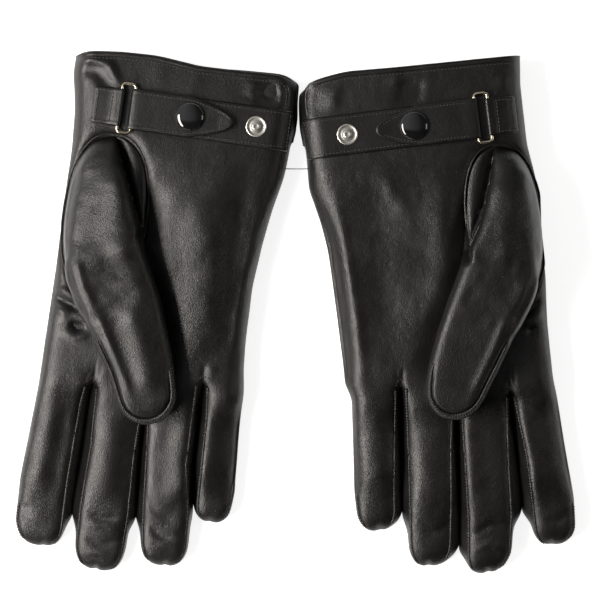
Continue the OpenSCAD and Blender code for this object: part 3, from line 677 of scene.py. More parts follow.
def hem(v, quads, normals, depth, turn_in):
    """Rolled edge round the open borders of a skin: all its points, and the edge's quads."""
    edges = np.concatenate([quads[:, [k, (k + 1) % 4]] for k in range(4)])
    _, index, count = np.unique(np.sort(edges, axis=1), axis=0, return_index=True,
                                return_counts=True)
    border = edges[index[count == 1]]
    used = np.unique(border)
    out = np.zeros_like(v)
    side = np.cross(v[border[:, 1]] - v[border[:, 0]], normals[border].mean(1))
    for k in (0, 1):
        np.add.at(out, border[:, k], side)
    n, o, p = normals[used], unit(out[used]), v[used]
    stops = ((0.3, 0.15), (-0.1, 0.55), (-0.6, 0.6), (-depth, 0.2), (-depth, -turn_in))
    layers = np.concatenate([p + rise * n + reach * o for rise, reach in stops])
    first = len(v) + np.searchsorted(used, border)[:, :, None]
    rolls = np.concatenate([border[:, :, None], first + len(used) * np.arange(len(stops))], axis=2)
    a, b = rolls[:, 0], rolls[:, 1]
    rim = np.stack([b[:, :-1], a[:, :-1], a[:, 1:], b[:, 1:]], axis=2).reshape(-1, 4)
    return np.concatenate([v, layers]), rim


# -------- leather of the hand

# Each fingertip's sewn end: how far beside its middle, and how far it is drawn in
TIP_PINCHES = ((2.2, 0.5), (-1.0, 0.8), (1.6, 0.7), (-0.6, 0.5))
PINCH_WIDTH = 1.7
BACK_POINTS = (-30.0, -5.0, 20.0)  # the three sewn lines on the back
BACK_RUN = (-84, -8)


def left_of(ahead):
    return np.array([-ahead[1], ahead[0]])


def oval_point(lay, b, grow=0.0):
    """A point of the thumb's seam, moved outwards by grow."""
    cx, cy, rx, ry = lay["oval"]
    power = 2 / OVAL_POWER
    s, c = sin(b), cos(b)
    return (cx - (rx + grow) * copysign(abs(s) ** power, s),
            cy + (ry + grow) * copysign(abs(c) ** power, c))


def oval_distance(lay, p):
    """About how far each point lies outside the thumb's seam."""
    cx, cy, rx, ry = lay["oval"]
    u, w = np.abs(p[:, 0] - cx) / rx, np.abs(p[:, 1] - cy) / ry
    rad = (u**OVAL_POWER + w**OVAL_POWER) ** (1 / OVAL_POWER)
    return np.hypot(p[:, 0] - cx, p[:, 1] - cy) * (1 - 1 / np.maximum(rad, 1e-6))


def thumb_path(lay):
    """A thumb's rings, each its distance, middle, direction, width and share of its
    full height, and the thumb's length."""
    pts = np.array([(x, y) for x, y, _ in lay["thumb"]], float)
    widths = [w for _, _, w in lay["thumb"]]
    run = distances(pts)
    total = run[-1]
    dome = total - THUMB_DOME
    rings = []
    for s in [*np.linspace(0, dome, 13), *(dome + d for d in THUMB_STOPS)]:
        before, mid, after = sampled(pts, [max(0, s - 7), s, min(total, s + 7)], run)
        ahead = (after - before) / np.linalg.norm(after - before)
        d = max(0.0, (s - dome) / THUMB_DOME)
        rings.append((s, mid, ahead, np.interp(s, run, widths), sqrt(max(0.0, 1 - d * d))))
    return rings, total


def beside_thumb(lay, p):
    """How far the palm is pressed down beside the thumb, at each flat point."""
    rings, total = thumb_path(lay)
    arc = [oval_point(lay, radians(b), 1.0) for b in (-60, -80, -100, -118)]
    edge = [mid + left_of(ahead) * (w / 2 - 2.5) for s, mid, ahead, w, _ in rings
            if 4 < s < total - 9]
    return fold(p, np.array(arc + edge), 6.0, VALLEY, 0.12)


def skin(hand):
    """The leather surface of one hand and its fingers: points, quads and tags."""
    lay, seed = LAY[hand], LAY[hand]["hand_seed"]
    v, quads, tags = subdivided(*hand_cage(hand, 0.0), 2)
    n = corner_normals(v, quads)
    flat = v[:, :2]
    up, down = smooth(0.05, 0.6, n[:, 2]), smooth(0.3, 0.8, -n[:, 2])
    # the leather waves a little everywhere, but hardly under the strap
    strap = fold(flat, [(-46, lay["strap_y"]), (50, lay["strap_y"])], 10.0, 1.0, 0.001)
    calm = 1 - STRAP_CALM * np.clip(strap * 1.3, 0, 1)
    on_finger = smooth(-92, -112, v[:, 1])
    waves = sum(mix(palm, finger, on_finger) * rumple(v, size, seed + i)
                for i, (size, palm, finger) in enumerate(HAND_WAVES))
    lift = bpy.context.scene.glove_shape.rumple * calm * waves
    v = v + n * (lift * (0.35 + 0.65 * up))[:, None]
    for points, width, height in lay["palm_folds"]:
        v[:, 2] += up * fold(flat, points, width, height)
    # the palm sags a little between its seams, and dips into the crotches
    low, high = along(lay["index_side"], v[:, 1]), along(lay["little_side"], v[:, 1])
    crown = np.sin(pi * np.clip((v[:, 0] - low) / (high - low), 0, 1)) ** 0.8
    v[:, 2] += up * smooth(-100, -84, v[:, 1]) * calm * (crown - 0.75) * PALM_CROWN
    v[:, 2] -= up * beside_thumb(lay, flat)
    # the groove of the thumb's seam, and inside it the palm's own leather, lying low
    d = oval_distance(lay, flat)
    (deep, narrow), (shallow, wide) = SEAM_GROOVES
    v[:, 2] -= up * (deep * np.exp(-((d / narrow) ** 2))
                     + shallow * np.exp(-((np.maximum(d, 0) / wide) ** 2)))
    v[:, 2] -= up * HOLE_DEPTH * smooth(-0.3, -4.5, d)
    for rows, (aside, drawn) in zip(lay["fingers"], TIP_PINCHES):
        tip = rows[-1][0]
        off = v[:, 0] - along(rows, tip) - aside
        pinch = np.exp(-((off / PINCH_WIDTH) ** 2)) * smooth(tip + 5, tip, v[:, 1])
        v[:, 1] += drawn * pinch
        v[:, 2] -= 0.5 * up * pinch
    low, high = BACK_RUN
    for x in BACK_POINTS:
        for side in (-1.2, 1.2):
            line = [(x + side, low), (x * 0.9 + side, high)]
            v[:, 2] += down * fold(flat, line, 0.7, 0.7, 0.05)
    v[:, 2] = np.maximum(v[:, 2], FLOOR_GAP)
    return v, quads, tags


# -------- leather of the thumb


def palm_top(lay, x, y):
    """Height of the palm's face, which drops towards the index side."""
    _, far, r = side_lines(lay, y)
    dip = max(0.0, far - x)
    return r + sqrt(max(0.0, r * r - dip * dip))


def thumb_cage(hand, inset):
    """Points, faces and tags of a thumb, from its seam in the palm to its tip."""
    lay, shape = LAY[hand], bpy.context.scene.glove_shape
    rings, total = thumb_path(lay)
    count = len(RING)

    def tube(s, mid, ahead, w, dome):
        thinner = smooth(0, total - THUMB_DOME, s)
        full = mix(shape.thumb_height / MM, shape.tip_height / MM, thinner)
        r = max(0.5, full * dome - 2 * inset) / 2
        wide = w * mix(1, dome, 0.9 if dome < 1 else 0) - 2 * inset
        m = max(0.2, wide / 2 - r)
        middle = THUMB_LOW - THUMB_SAG * smooth(20, total, s) + full / 2
        lean = THUMB_LEAN * (1 - smooth(0, 34, s))
        out = []
        for a, b in RING:
            c = cos(radians(b))
            out_by = a * m + r * sin(radians(b))
            p = mid + left_of(ahead) * out_by + ahead * lean * (1 - c) / 2
            out.append((p[0], p[1], middle + r * c))
        return out

    first = np.array(tube(*rings[0]))
    hole = []
    for j in range(count):
        x, y = oval_point(lay, radians((j - 3) * 360 / count), -0.3 - inset)
        hole.append(np.array((x, y, palm_top(lay, x, y) - 0.9 - inset)))
    rows = []
    for u in THUMB_ROOT:
        row = []
        for j, (a, b) in enumerate(zip(hole, first)):
            bow = mix(a, b, np.array([0.06, 0.06, 0.9 if j in (7, 8, 9) else 0.72])) + (0, 0, 2.0)
            row.append(tuple((1 - u) ** 2 * a + 2 * u * (1 - u) * bow + u * u * b))
        rows.append(row)
    rows += [tube(*ring) for ring in rings]
    verts = [p for row in rows for p in row] + [tuple(np.mean(rows[-1], axis=0))]
    centre = len(verts) - 1
    faces = grid(len(rows), count, True).tolist() + fan(range(centre - count, centre), centre)
    return verts, faces, [0] * len(faces)


def thumb_edge(lay, inset):
    """Flat line round the thumb's end, that far in from its outline."""
    rings, total = thumb_path(lay)
    sides = {-1: [], 1: []}
    for s, mid, ahead, w, dome in rings:
        for side, reach in ((-1, 50), (1, 27)):
            if s > total - reach:
                out = left_of(ahead) * side * max(w * dome / 2 - inset, 0.3)
                sides[side].append(mid + out - ahead * inset * (1 - dome))
    return np.array(sides[-1] + sides[1][::-1])


def tucked(lay, v, under=0.0):
    """Points with the leather between the thumb's fold and its seam laid low, and the
    fold leaning over it. A lining lies that far under."""
    line = sorted((y, x) for x, y in lay["fold_line"])
    bottom, top = line[0][0], line[-1][0]
    x, y = v[:, 0], v[:, 1]
    past = x - along(line, y)
    cx, cy, rx, ry = lay["oval"]
    arc = cx + rx * np.maximum(0, 1 - (np.abs(y - cy) / ry) ** OVAL_POWER) ** (1 / OVAL_POWER)
    wide = np.maximum(arc - (x - past), 1.5)
    share = np.clip((past - 0.8) / np.maximum(wide - 0.8, 1), 0, 1)
    rise = GUSSET_RISE * np.sin(pi * share) ** 0.8
    low = mix(CREASE_LOW, GUSSET_HIGH, share) + rise - under
    inside = smooth(bottom - 1, bottom + 9, y) * smooth(top + 5, top - 1, y)
    out = v.copy()
    out[:, 0] += inside * (OVERHANG * smooth(-10, -1.6, past) * smooth(1.6, -0.8, past)
                           - UNDERCUT * np.exp(-(((past - 2.0) / 1.5) ** 2)))
    out[:, 2] = mix(v[:, 2], np.minimum(v[:, 2], low), smooth(-2.4, 2.0, past) * inside)
    return out


def thumb_skin(hand):
    """The leather surface of one thumb: points and quads."""
    lay, seed = LAY[hand], LAY[hand]["thumb_seed"]
    v, quads, _ = subdivided(*thumb_cage(hand, 0.0), 3)
    n = corner_normals(v, quads)
    up = smooth(0.0, 0.5, n[:, 2])
    waves = sum(height * rumple(v, size, seed + i)
                for i, (size, height) in enumerate(THUMB_WAVES))
    free = smooth(0, 6, 20 * smooth(-35, -60, v[:, 1]) - oval_distance(lay, v))
    v = v + n * (bpy.context.scene.glove_shape.rumple * waves * free)[:, None]
    v = tucked(lay, v)
    for points, width, height in lay["thumb_folds"]:
        v[:, 2] += up * fold(v[:, :2], points, width, height, 0.22)
    v[:, 2] += up * fold(v[:, :2], thumb_edge(lay, 3.3), 0.7, -0.75, 0.12)
    v[:, 2] -= 0.2 * np.exp(-(oval_distance(lay, v) ** 2)) * smooth(22, 18, v[:, 2])
    v[:, 2] = np.maximum(v[:, 2], np.where(v[:, 1] < -60, THUMB_FLOOR, 0))
    return v, quads


# -------- seams and stitches

THREAD = 1  # material number of the stitches on a piece
LIP = ((-0.5, -0.25), (-0.46, 0.55), (-0.25, 0.95), (0.1, 1.0), (0.4, 0.75), (0.5, -0.25))
STITCH = ((-0.5, 0.45, -0.5), (-0.3, 1.0, 0.0), (0.3, 1.0, 0.0), (0.5, 0.45, -0.5))
STITCH_SIDES = 5
CUFF_SEWING = {"pitch": 1.8, "length": 1.25, "radius": 0.2}
CUFF_LIP = {"width": 1.9, "height": 0.5, "ends": 3}
WELT_LIP = {"width": 0.9, "height": 0.75, "ends": 0}
CROTCH_SEWING = {"pitch": 1.2, "length": 1.5, "radius": 0.17, "turn": 90, "sink": 0.2}
THUMB_LIP = {"width": 2.6, "height": 0.7, "ends": 3, "bead": 1.3}
THUMB_SEWING = {"pitch": 1.3, "length": 2.1, "radius": 0.2, "turn": 76, "sink": -1.1,
                "offset": 0.1}


def draped(tree, line, top=True):
    """Points and normals of a flat line laid on a surface, from above or below."""
    start, aim = (80.0, Vector((0, 0, -1))) if top else (-20.0, Vector((0, 0, 1)))
    hits = [tree.ray_cast(Vector((x, y, start)), aim)[:2] for x, y in line]
    hits = np.array([[*p, *n] for p, n in hits if p is not None]).reshape(-1, 6)
    p, n = hits[:, :3], hits[:, 3:]
    if len(n) > 4:
        for _ in range(3):
            n[1:-1] = (n[:-2] + n[1:-1] + n[2:]) / 3
            p[1:-1, 2] = (p[:-2, 2] + 2 * p[1:-1, 2] + p[2:, 2]) / 4
        n = unit(n)
    return p, n


def ribbon(hide, p, n, width, height, ends=2, bead=0.0):
    """A low rounded lip of leather laid along p, pinched at every stitch if beaded."""
    if len(p) < 4:
        return
    fade = np.ones(len(p))
    if bead:
        both = resample(np.concatenate([p, n], axis=1), bead / 4)
        p, n = both[:, :3], unit(both[:, 3:])
        fade = 0.45 + 0.55 * np.abs(np.cos(pi * distances(p) / bead))
        ends *= 4
    if ends:
        fade[:ends] *= np.linspace(0.1, 1, ends, endpoint=False)
        fade[-ends:] *= np.linspace(1, 0.1, ends)
    side = unit(np.cross(tangents(p), n))
    rows = [p + side * (across * width) + n * (rise * height * fade)[:, None]
            for across, rise in LIP]
    hide.add(np.stack(rows, axis=1), grid(len(p), len(LIP))[:, ::-1])


def stitches(hide, p, n, pitch, length, radius, turn=0.0, sink=0.1, offset=0.0):
    """Short threads at even steps along p, turned from its direction by some degrees
    and sunk into it by that share of their thickness."""
    if len(p) < 3:
        return
    run = distances(p)
    s = np.arange(pitch / 2, run[-1], pitch)
    if not len(s):
        return
    up = unit(sampled(n, s, run))
    side = unit(np.cross(sampled(tangents(p), s, run), up))
    middle = sampled(p, s, run) + side * offset + up * (radius * (1 - 2 * sink))
    a = radians(turn)
    d = np.cross(up, side) * cos(a) + side * sin(a)
    e = np.cross(up, d)
    verts = []
    for reach, fat, drop in STITCH:
        for k in range(STITCH_SIDES):
            b = 2 * pi * k / STITCH_SIDES
            verts.append(middle + d * (reach * length) + up * (radius * (fat * sin(b) + drop))
                         + e * (radius * fat * cos(b)))
    starts = np.arange(len(s)) * len(verts)
    ends = hide.n + starts[:, None] + np.arange(STITCH_SIDES)
    quads = starts[:, None, None] + grid(len(STITCH), STITCH_SIDES, True)
    hide.add(np.stack(verts, axis=1), quads.reshape(-1, 4), THREAD)
    hide.cap(ends[:, ::-1].tolist(), THREAD)
    hide.cap((ends + (len(STITCH) - 1) * STITCH_SIDES).tolist(), THREAD)


def finger_edge(lay, k, side, start, stop, inset):
    """A finger's palm seam, side -1 for its index side and 1 for its little side."""
    ys = np.arange(start, stop, -1.0)
    rows = lay["fingers"][k]
    half = along(rows, ys, 2) * tip_share(ys, rows[-1][0]) / 2
    return np.stack([along(rows, ys) + side * np.maximum(half - inset, 0.6), ys], axis=1)


def sew_finger(hides, hand, k, tree, line, top, way):
    """A beaded lip and its stitches along a finger's line, shared between the hand's
    piece and the finger's."""
    seams = bpy.context.scene.glove_seams
    p, n = draped(tree, line, top)
    cut = BENDS[hand][k] + CUT_BACK
    for number, chosen in ((0, p[:, 1] >= cut - 0.6), (k + 1, p[:, 1] <= cut + 0.6)):
        q, m = p[chosen], n[chosen]
        if len(q) < 5:
            continue
        ribbon(hides[number], q, m, seams.lip_width / MM, seams.lip_height / MM,
               0 if number == 0 else 2, seams.pitch / MM)
        flat = np.abs(m[:, 2]) > 0.6
        stitches(hides[number], q[flat], m[flat], seams.pitch / MM, seams.stitch / MM,
                 seams.thread / MM, turn=78, sink=-0.35, offset=-way * 0.1)


# -------- finishes


class Nodes:
    """The node tree of a material or world, with the nodes that the finishes need."""

    def __init__(self, owner):
        owner.use_nodes = True
        self.tree = owner.node_tree
        self.tree.nodes.clear()

    def feed(self, node, inputs):
        """Gives inputs their values, or links them where the value is a socket."""
        for key, value in inputs.items():
            if isinstance(value, NodeSocket):
                self.tree.links.new(value, node.inputs[key])
            else:
                node.inputs[key].default_value = value

    def add(self, kind, inputs, **settings):
        node = self.tree.nodes.new("ShaderNode" + kind)
        for name, value in settings.items():
            setattr(node, name, value)
        self.feed(node, inputs)
        return node.outputs

    def ramp(self, value, low, high, a=0.0, b=1.0):
        return self.add("MapRange", {"Value": value, "From Min": low, "From Max": high,
                                     "To Min": a, "To Max": b})["Result"]

    def join(self, operation, a, b, clamp=False):
        return self.add("Math", {0: a, 1: b}, operation=operation, use_clamp=clamp)[0]


class Finish(Nodes):
    """A material with a Principled shader and patterns on Object coordinates."""

    def __init__(self, name):
        self.material = bpy.data.materials.new(name)
        super().__init__(self.material)
        self.shader = self.tree.nodes.new("ShaderNodeBsdfPrincipled")
        self.add("OutputMaterial", {0: self.shader.outputs[0]})
        self.coords = self.add("TexCoord", {})["Object"]

    def noise(self, scale, detail=3.0, rough=0.5, distortion=0.0):
        return self.add("TexNoise", {"Vector": self.coords, "Scale": scale, "Detail": detail,
                                     "Roughness": rough, "Distortion": distortion})["Fac"]

    def blend(self, share, a, b):
        """A colour or a socket to another colour or socket, by share."""
        a, b = (c if isinstance(c, NodeSocket) else (*c, 1) for c in (a, b))
        return self.add("Mix", {"Factor": share, 6: a, 7: b}, data_type="RGBA")[2]

    def bump(self, height, strength, distance, **before):
        """Relief on top of the relief given as Normal, if any."""
        return self.add("Bump", {"Height": height, "Strength": strength, "Distance": distance,
                                 **before})["Normal"]

    def done(self, **inputs):
        self.feed(self.shader, {key.replace("_", " "): value for key, value in inputs.items()})
        return self.material


def darker(colour, share):
    return tuple(c * share for c in colour)


def leather(name, colour, worn, rough, grain, strength):
    """Fine grained leather: pores, fine creases, uneven gloss and paler raised parts."""
    m = Finish(name)
    wobble = m.add("TexNoise", {"Vector": m.coords, "Scale": 0.35 / grain})["Color"]
    warped = m.add("VectorMath", {0: wobble, 1: (grain * 1.6,) * 3, 2: m.coords},
                   operation="MULTIPLY_ADD")[0]
    cells = m.add("TexVoronoi", {"Vector": warped, "Scale": 1 / grain},
                  feature="DISTANCE_TO_EDGE")["Distance"]
    pores = m.ramp(cells, 0.0, 0.28)
    fine = m.noise(0.55 / grain, 5, 0.65, 0.4)
    rubbed = m.blend(m.ramp(m.noise(42, 4, 0.55, 0.6), 0.35, 0.7), colour, worn)
    tint = m.blend(m.ramp(cells, 0.0, 0.12), darker(colour, 0.6), rubbed)
    gloss = m.ramp(m.noise(75, 5, 0.6), 0.3, 0.7, rough - 0.05, rough + 0.07)
    relief = m.bump(m.noise(210, 4, 0.6, 1.2), strength * 0.5, 0.0006)
    relief = m.bump(fine, strength, 0.00022, Normal=relief)
    relief = m.bump(pores, strength, 0.00012, Normal=relief)
    return m.done(Base_Color=tint, Roughness=gloss, Specular_IOR_Level=0.62, Normal=relief)


def cloth(name, colour):
    """Brushed knit: ribs with a fuzzy nap."""
    m = Finish(name)
    ribs = m.add("TexWave", {"Vector": m.coords, "Scale": 260, "Distortion": 2.5,
                             "Detail": 2})["Fac"]
    nap = m.noise(700, 5, 0.7)
    tint = m.blend(m.ramp(nap, 0.3, 0.7), darker(colour, 0.55), colour)
    relief = m.bump(nap, 0.6, 0.0006, Normal=m.bump(ribs, 0.6, 0.0005))
    return m.done(Base_Color=tint, Roughness=0.95, Specular_IOR_Level=0.15, Sheen_Weight=0.5,
                  Sheen_Roughness=0.6, Normal=relief)


def thread(name, colour):
    """Waxed sewing thread with a fine twist."""
    m = Finish(name)
    twist = m.noise(2600, 2, 0.5)
    tint = m.blend(twist, darker(colour, 0.6), colour)
    return m.done(Base_Color=tint, Roughness=0.48, Normal=m.bump(twist, 0.5, 0.0002))


def metal(name, colour, rough):
    """Plated metal with faint scuffs and slightly dulled patches."""
    m = Finish(name)
    scuffs = m.noise(900, 3, 0.6, 3.0)
    dull = m.noise(160, 3)
    tint = m.blend(m.ramp(dull, 0.35, 0.75), colour, darker(colour, 0.8))
    gloss = m.ramp(dull, 0.3, 0.7, rough, rough + 0.14)
    return m.done(Base_Color=tint, Roughness=gloss, Metallic=1.0,
                  Normal=m.bump(scuffs, 0.08, 0.00006))


def enamel(name, colour, rough):
    """Glossy black lacquer with fine dust scratches and a faint ripple."""
    m = Finish(name)
    dust = m.noise(1500, 4, 0.7)
    tint = m.blend(m.ramp(dust, 0.4, 0.8), colour, darker(colour, 1.8))
    ripple = m.noise(220, 2)
    gloss = m.ramp(dust, 0.3, 0.8, rough, rough + 0.06)
    return m.done(Base_Color=tint, Roughness=gloss, Specular_IOR_Level=0.8, Coat_Weight=0.6,
                  Coat_Roughness=0.04, Normal=m.bump(ripple, 0.05, 0.0002))


@cache
def finish(name):
    """One of the finishes, made once from the scene's settings."""
    f = bpy.context.scene.glove_finish

    def hue(part):
        return tuple(getattr(f, part + "_colour"))

    if name.endswith("leather"):
        worn, strength = ("worn", 0.4) if name == "glove_leather" else ("leather", 0.35)
        return leather(name, hue("leather"), hue(worn), f.leather_rough, f.grain, strength)
    if name == "lining_cloth":
        return cloth(name, hue("lining"))
    if name in ("seam_thread", "tack_thread"):
        return thread(name, hue("thread" if name == "seam_thread" else "tack"))
    if name == "cap_enamel":
        return enamel(name, hue("cap"), 0.06)
    part, rough = {"nickel": ("nickel", 0.32), "pale_gold": ("loop", 0.14)}[name]
    return metal(name, hue(part), rough)


# -------- settings


def length(name, text, default, low, high):
    return FloatProperty(name=name, description=text, default=default, min=low, max=high,
                         unit="LENGTH")


def share(name, text, default, low, high):
    return FloatProperty(name=name, description=text, default=default, min=low, max=high,
                         subtype="FACTOR")


def power(name, text, default):
    return FloatProperty(name=name, description=text, default=default, min=0, max=60, unit="POWER")


def colour(name, text, default):
    return FloatVectorProperty(name=name, description=text, default=default, min=0, max=1,
                               subtype="COLOR")


class GloveShape(PropertyGroup):
    cuff_height: length("Cuff Height", "Height of the open cuff", 0.020, 0.016, 0.026)
    knuckle_height: length("Knuckle Height", "Height of the hand at the knuckles",
                           0.017, 0.014, 0.020)
    finger_height: length("Finger Height", "Height of a finger at its middle joint",
                          0.014, 0.011, 0.015)
    tip_height: length("Tip Height", "Height of a finger before its tip", 0.011, 0.009, 0.012)
    thumb_height: length("Thumb Height", "Height of the thumb at its bend", 0.0138, 0.011, 0.016)
    rumple: share("Rumple", "How much the leather waves between its seams", 1.0, 0.0, 2.0)
    hem: length("Hem", "Thickness of a rolled leather edge", 0.0011, 0.0006, 0.002)


class GloveSeams(PropertyGroup):
    lip_width: length("Lip Width", "Width of the leather lip outside a seam", 0.0017, 0.001, 0.003)
    lip_height: length("Lip Height", "Height of the leather lip", 0.00075, 0.0002, 0.001)
    pitch: length("Stitch Pitch", "Distance from one stitch to the next", 0.0014, 0.0008, 0.003)
    stitch: length("Stitch Length", "Length of one stitch", 0.0014, 0.0005, 0.0025)
    thread: length("Thread Radius", "Radius of the sewing thread", 0.00018, 0.0001, 0.0004)


class GloveStrap(PropertyGroup):
    width: length("Strap Width", "Width of the wrist strap", 0.0195, 0.016, 0.021)
    thickness: length("Strap Thickness", "Thickness of the strap leather", 0.0012, 0.001, 0.0016)
    tail: length("Tail Length", "Length of the tail from the loop to its point",
                 0.0485, 0.044, 0.054)
    cap: length("Cap Diameter", "Diameter of the snap cap", 0.0138, 0.012, 0.015)
    flange: length("Stud Diameter", "Diameter of the stud's flange", 0.010, 0.009, 0.011)


class GloveFinish(PropertyGroup):
    leather_colour: colour("Leather", "Colour of the leather", (0.0052, 0.0047, 0.0046))
    worn_colour: colour("Worn Leather", "Colour of the paler, rubbed leather",
                        (0.0095, 0.0085, 0.008))
    lining_colour: colour("Lining", "Colour of the knit lining", (0.035, 0.035, 0.038))
    # The seam thread's grey is partly its own colour and partly a painted highlight: it is paler
    # so that it stands in for the sheen on the stitches.
    thread_colour: colour("Thread", "Colour of the seams' thread", (0.085, 0.08, 0.075))
    tack_colour: colour("Tack Thread", "Colour of the thread between the gloves",
                        (0.33, 0.33, 0.34))
    nickel_colour: colour("Nickel", "Colour of the studs", (0.80, 0.78, 0.72))
    loop_colour: colour("Loop", "Colour of the metal loop", (0.86, 0.76, 0.58))
    cap_colour: colour("Cap", "Colour of the snap cap", (0.008, 0.008, 0.009))
    leather_rough: share("Leather Roughness", "Roughness of the leather", 0.39, 0.2, 0.8)
    grain: length("Grain Size", "Size of one cell of the leather's grain", 0.0009, 0.0004, 0.003)


class GloveStage(PropertyGroup):
    camera_height: length("Camera Height", "Height of the camera above the floor", 1.6, 0.5, 4.0)
    view_width: length("View Width", "Width that the camera sees at the gloves", 0.288, 0.2, 0.6)
    key: power("Key Light", "Power of the main soft light on the left", 9.0)
    left: power("Left Light", "Power of the low light on the left", 0.4)
    right: power("Right Light", "Power of the low light on the right", 1.15)
    room: share("Room", "Brightness of the pale room behind and over the gloves", 0.42, 0.0, 2.0)


# -------- pieces of leather and lining

HEM_TURN = 3.5  # how far a rolled edge turns in
FACING_HEM = (0.7, 1.0)  # thickness and turn of the facing's own edges
# How far below the cuff's edge each row of its facing lies, and how far inside the leather
FACING_ROWS = ((1.4, 1.3), (2.2, 1.55), (6, 1.7), (10.5, 1.9), (12, 2.2), (12.3, 2.6))
LEATHER = ("glove_leather", "seam_thread")


def blend_finger(obj):
    """Puts the place of a finger's piece into its mesh."""
    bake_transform(obj)


def blend_thumb(obj):
    """Puts the place of a thumb's piece into its mesh."""
    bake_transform(obj)


def settle(hide, hand, k, kind, finishes, *nodes):
    """Builds the hand's piece, where k is 0, or a finger's."""
    obj = hide.build(f"{hand}_{('hand', *FINGERS)[k]}_{kind}", hand, finishes)
    own(obj, finishes[0], None if k else "gloves", *nodes)
    if k:
        blend_finger(obj)


def finger_seams(hides, hand, tree):
    """Sewn lips along the palm and back seams of the fingers."""
    lay = LAY[hand]
    for k, rows in enumerate(lay["fingers"]):
        tip = rows[-1][0]
        for side, gap in ((-1, k - 1), (1, k)):
            if 0 <= gap <= 2:
                line = finger_edge(lay, k, side, lay["crotch"][gap][1] - 2.6, tip + 1.0, 0.75)
                sew_finger(hides, hand, k, tree, line, True, side)
                sew_finger(hides, hand, k, tree, line, False, -side)
        if k in (0, 3):
            # the seam over an outer finger's edge, at its tip only
            outer = -1 if k == 0 else 1
            line = finger_edge(lay, k, outer, tip + 20, tip + 1.0, 1.3)
            sew_finger(hides, hand, k, tree, line, True, outer)


def hand_seams(hide, hand, tree):
    """The sewn cuff, the welt round the thumb's seam and the sewing of the crotches."""
    lay = LAY[hand]
    xs = np.linspace(-53, 40, 80)
    for edge, top in (("cuff_edge", True), ("back_edge", False)):
        line = list(zip(xs, along(lay[edge], xs)))
        if top:
            # round the corner and down the flap of the vent
            y = line[-1][1]
            line += [(44.2, y - 0.8), (46.9, y - 3.4), (48, y - 7.5), (48.3, 42.5)]
        line = resample(line, 1.0)
        t = tangents(line)
        inward = np.stack([t[:, 1], -t[:, 0]], axis=1)
        stitches(hide, *draped(tree, line + inward * 2.9, top), **CUFF_SEWING)
        ribbon(hide, *draped(tree, line + inward * 1.1, top), **CUFF_LIP)
    welt = [oval_point(lay, radians(b), 0.5) for b in range(-172, 173, 3)]
    welt = [(max(x, along(lay["index_side"], y) + 1.0), y) for x, y in welt]
    ribbon(hide, *draped(tree, resample(welt, 1.2)), **WELT_LIP)
    for x, y in lay["crotch"]:
        arc = [(x + 3.0 * cos(a), y - 1.2 + 3.2 * sin(a)) for a in np.radians(range(0, 181, 12))]
        stitches(hide, *draped(tree, resample(arc, 0.6)), **CROTCH_SEWING)


def add_leather(hand):
    v, quads, tags = skin(hand)
    tree = BVHTree.FromPolygons(v.tolist(), quads.tolist())
    thick = bpy.context.scene.glove_shape.hem / MM
    hemmed, rim = hem(v, quads, corner_normals(v, quads), thick, HEM_TURN)
    hides = [Hide(*compact(hemmed, np.concatenate([quads[tags == 0], rim])))]
    hides += [Hide(*compact(v, quads[tags == k])) for k in range(1, 5)]
    finger_seams(hides, hand, tree)
    hand_seams(hides[0], hand, tree)
    settle(hides[0], hand, 0, "leather", LEATHER, f"{hand}_trank",
           *(f"{hand}_fourchette_{gap}" for gap in GAPS))
    for k, finger in enumerate(FINGERS, 1):
        settle(hides[k], hand, k, "leather", LEATHER, f"{hand}_{finger}_end")


def add_thumb(hand):
    v, quads = thumb_skin(hand)
    hide = Hide(v, quads)
    tree = BVHTree.FromPolygons(v.tolist(), quads.tolist())
    p, n = draped(tree, resample(thumb_edge(LAY[hand], 1.9), 0.9))
    ribbon(hide, p, n, **THUMB_LIP)
    stitches(hide, p, n, **THUMB_SEWING)
    obj = hide.build(f"{hand}_thumb_leather", hand, LEATHER)
    own(obj, "glove_leather", None, f"{hand}_thumb_base", f"{hand}_thumb_end")
    blend_thumb(obj)


def add_lining(hand):
    lay, cloths = LAY[hand], ("lining_cloth",)
    v, quads, tags = subdivided(*hand_cage(hand, LINING_INSET, LINING_END, False), 1)
    v = waved(v, corner_normals(v, quads), *LINING_WAVES)
    drop = beside_thumb(lay, v[:, :2]) * 0.8 + 6.0 * smooth(1.5, -3.5, oval_distance(lay, v))
    v[:, 2] -= np.where(v[:, 2] > 9, drop, 0)
    for k, node in enumerate(("lining", *(finger + "_end_lining" for finger in FINGERS))):
        settle(Hide(*compact(v, quads[tags == k])), hand, k, "lining", cloths, f"{hand}_{node}")
    v, quads, _ = subdivided(*thumb_cage(hand, THUMB_LINING), 2)
    obj = Hide(tucked(lay, v, 0.9), quads).build(f"{hand}_thumb_lining", hand, cloths)
    own(obj, "lining_cloth", None, f"{hand}_thumb_end_lining")
    blend_thumb(obj)


def add_facing(hand):
    lay = LAY[hand]
    shares = palm_columns(lay)
    rows = []
    for down, inset in FACING_ROWS:
        y = CUFF - down
        rows.append(cuffed(lay, hand_ring(lay, shares, y, inset, vent_gap(y) + 2), 1.0))
    faces = grid(len(rows), len(rows[0]))[:, [0, 3, 2, 1]].tolist()
    v, quads, _ = subdivided([p for row in rows for p in row], faces, [0] * len(faces), 2)
    n = corner_normals(v, quads)
    v = waved(v, n, *FACING_WAVES)
    hemmed, rim = hem(v, quads, n, *FACING_HEM)
    obj = Hide(hemmed, np.concatenate([quads, rim])).build(f"{hand}_facing_leather", hand, LEATHER)
    own(obj, "glove_leather", "gloves", f"{hand}_cuff_facing")


# -------- wrist straps
# A strap is a list of stops, each its x, z, slope in degrees, thickness and half width.

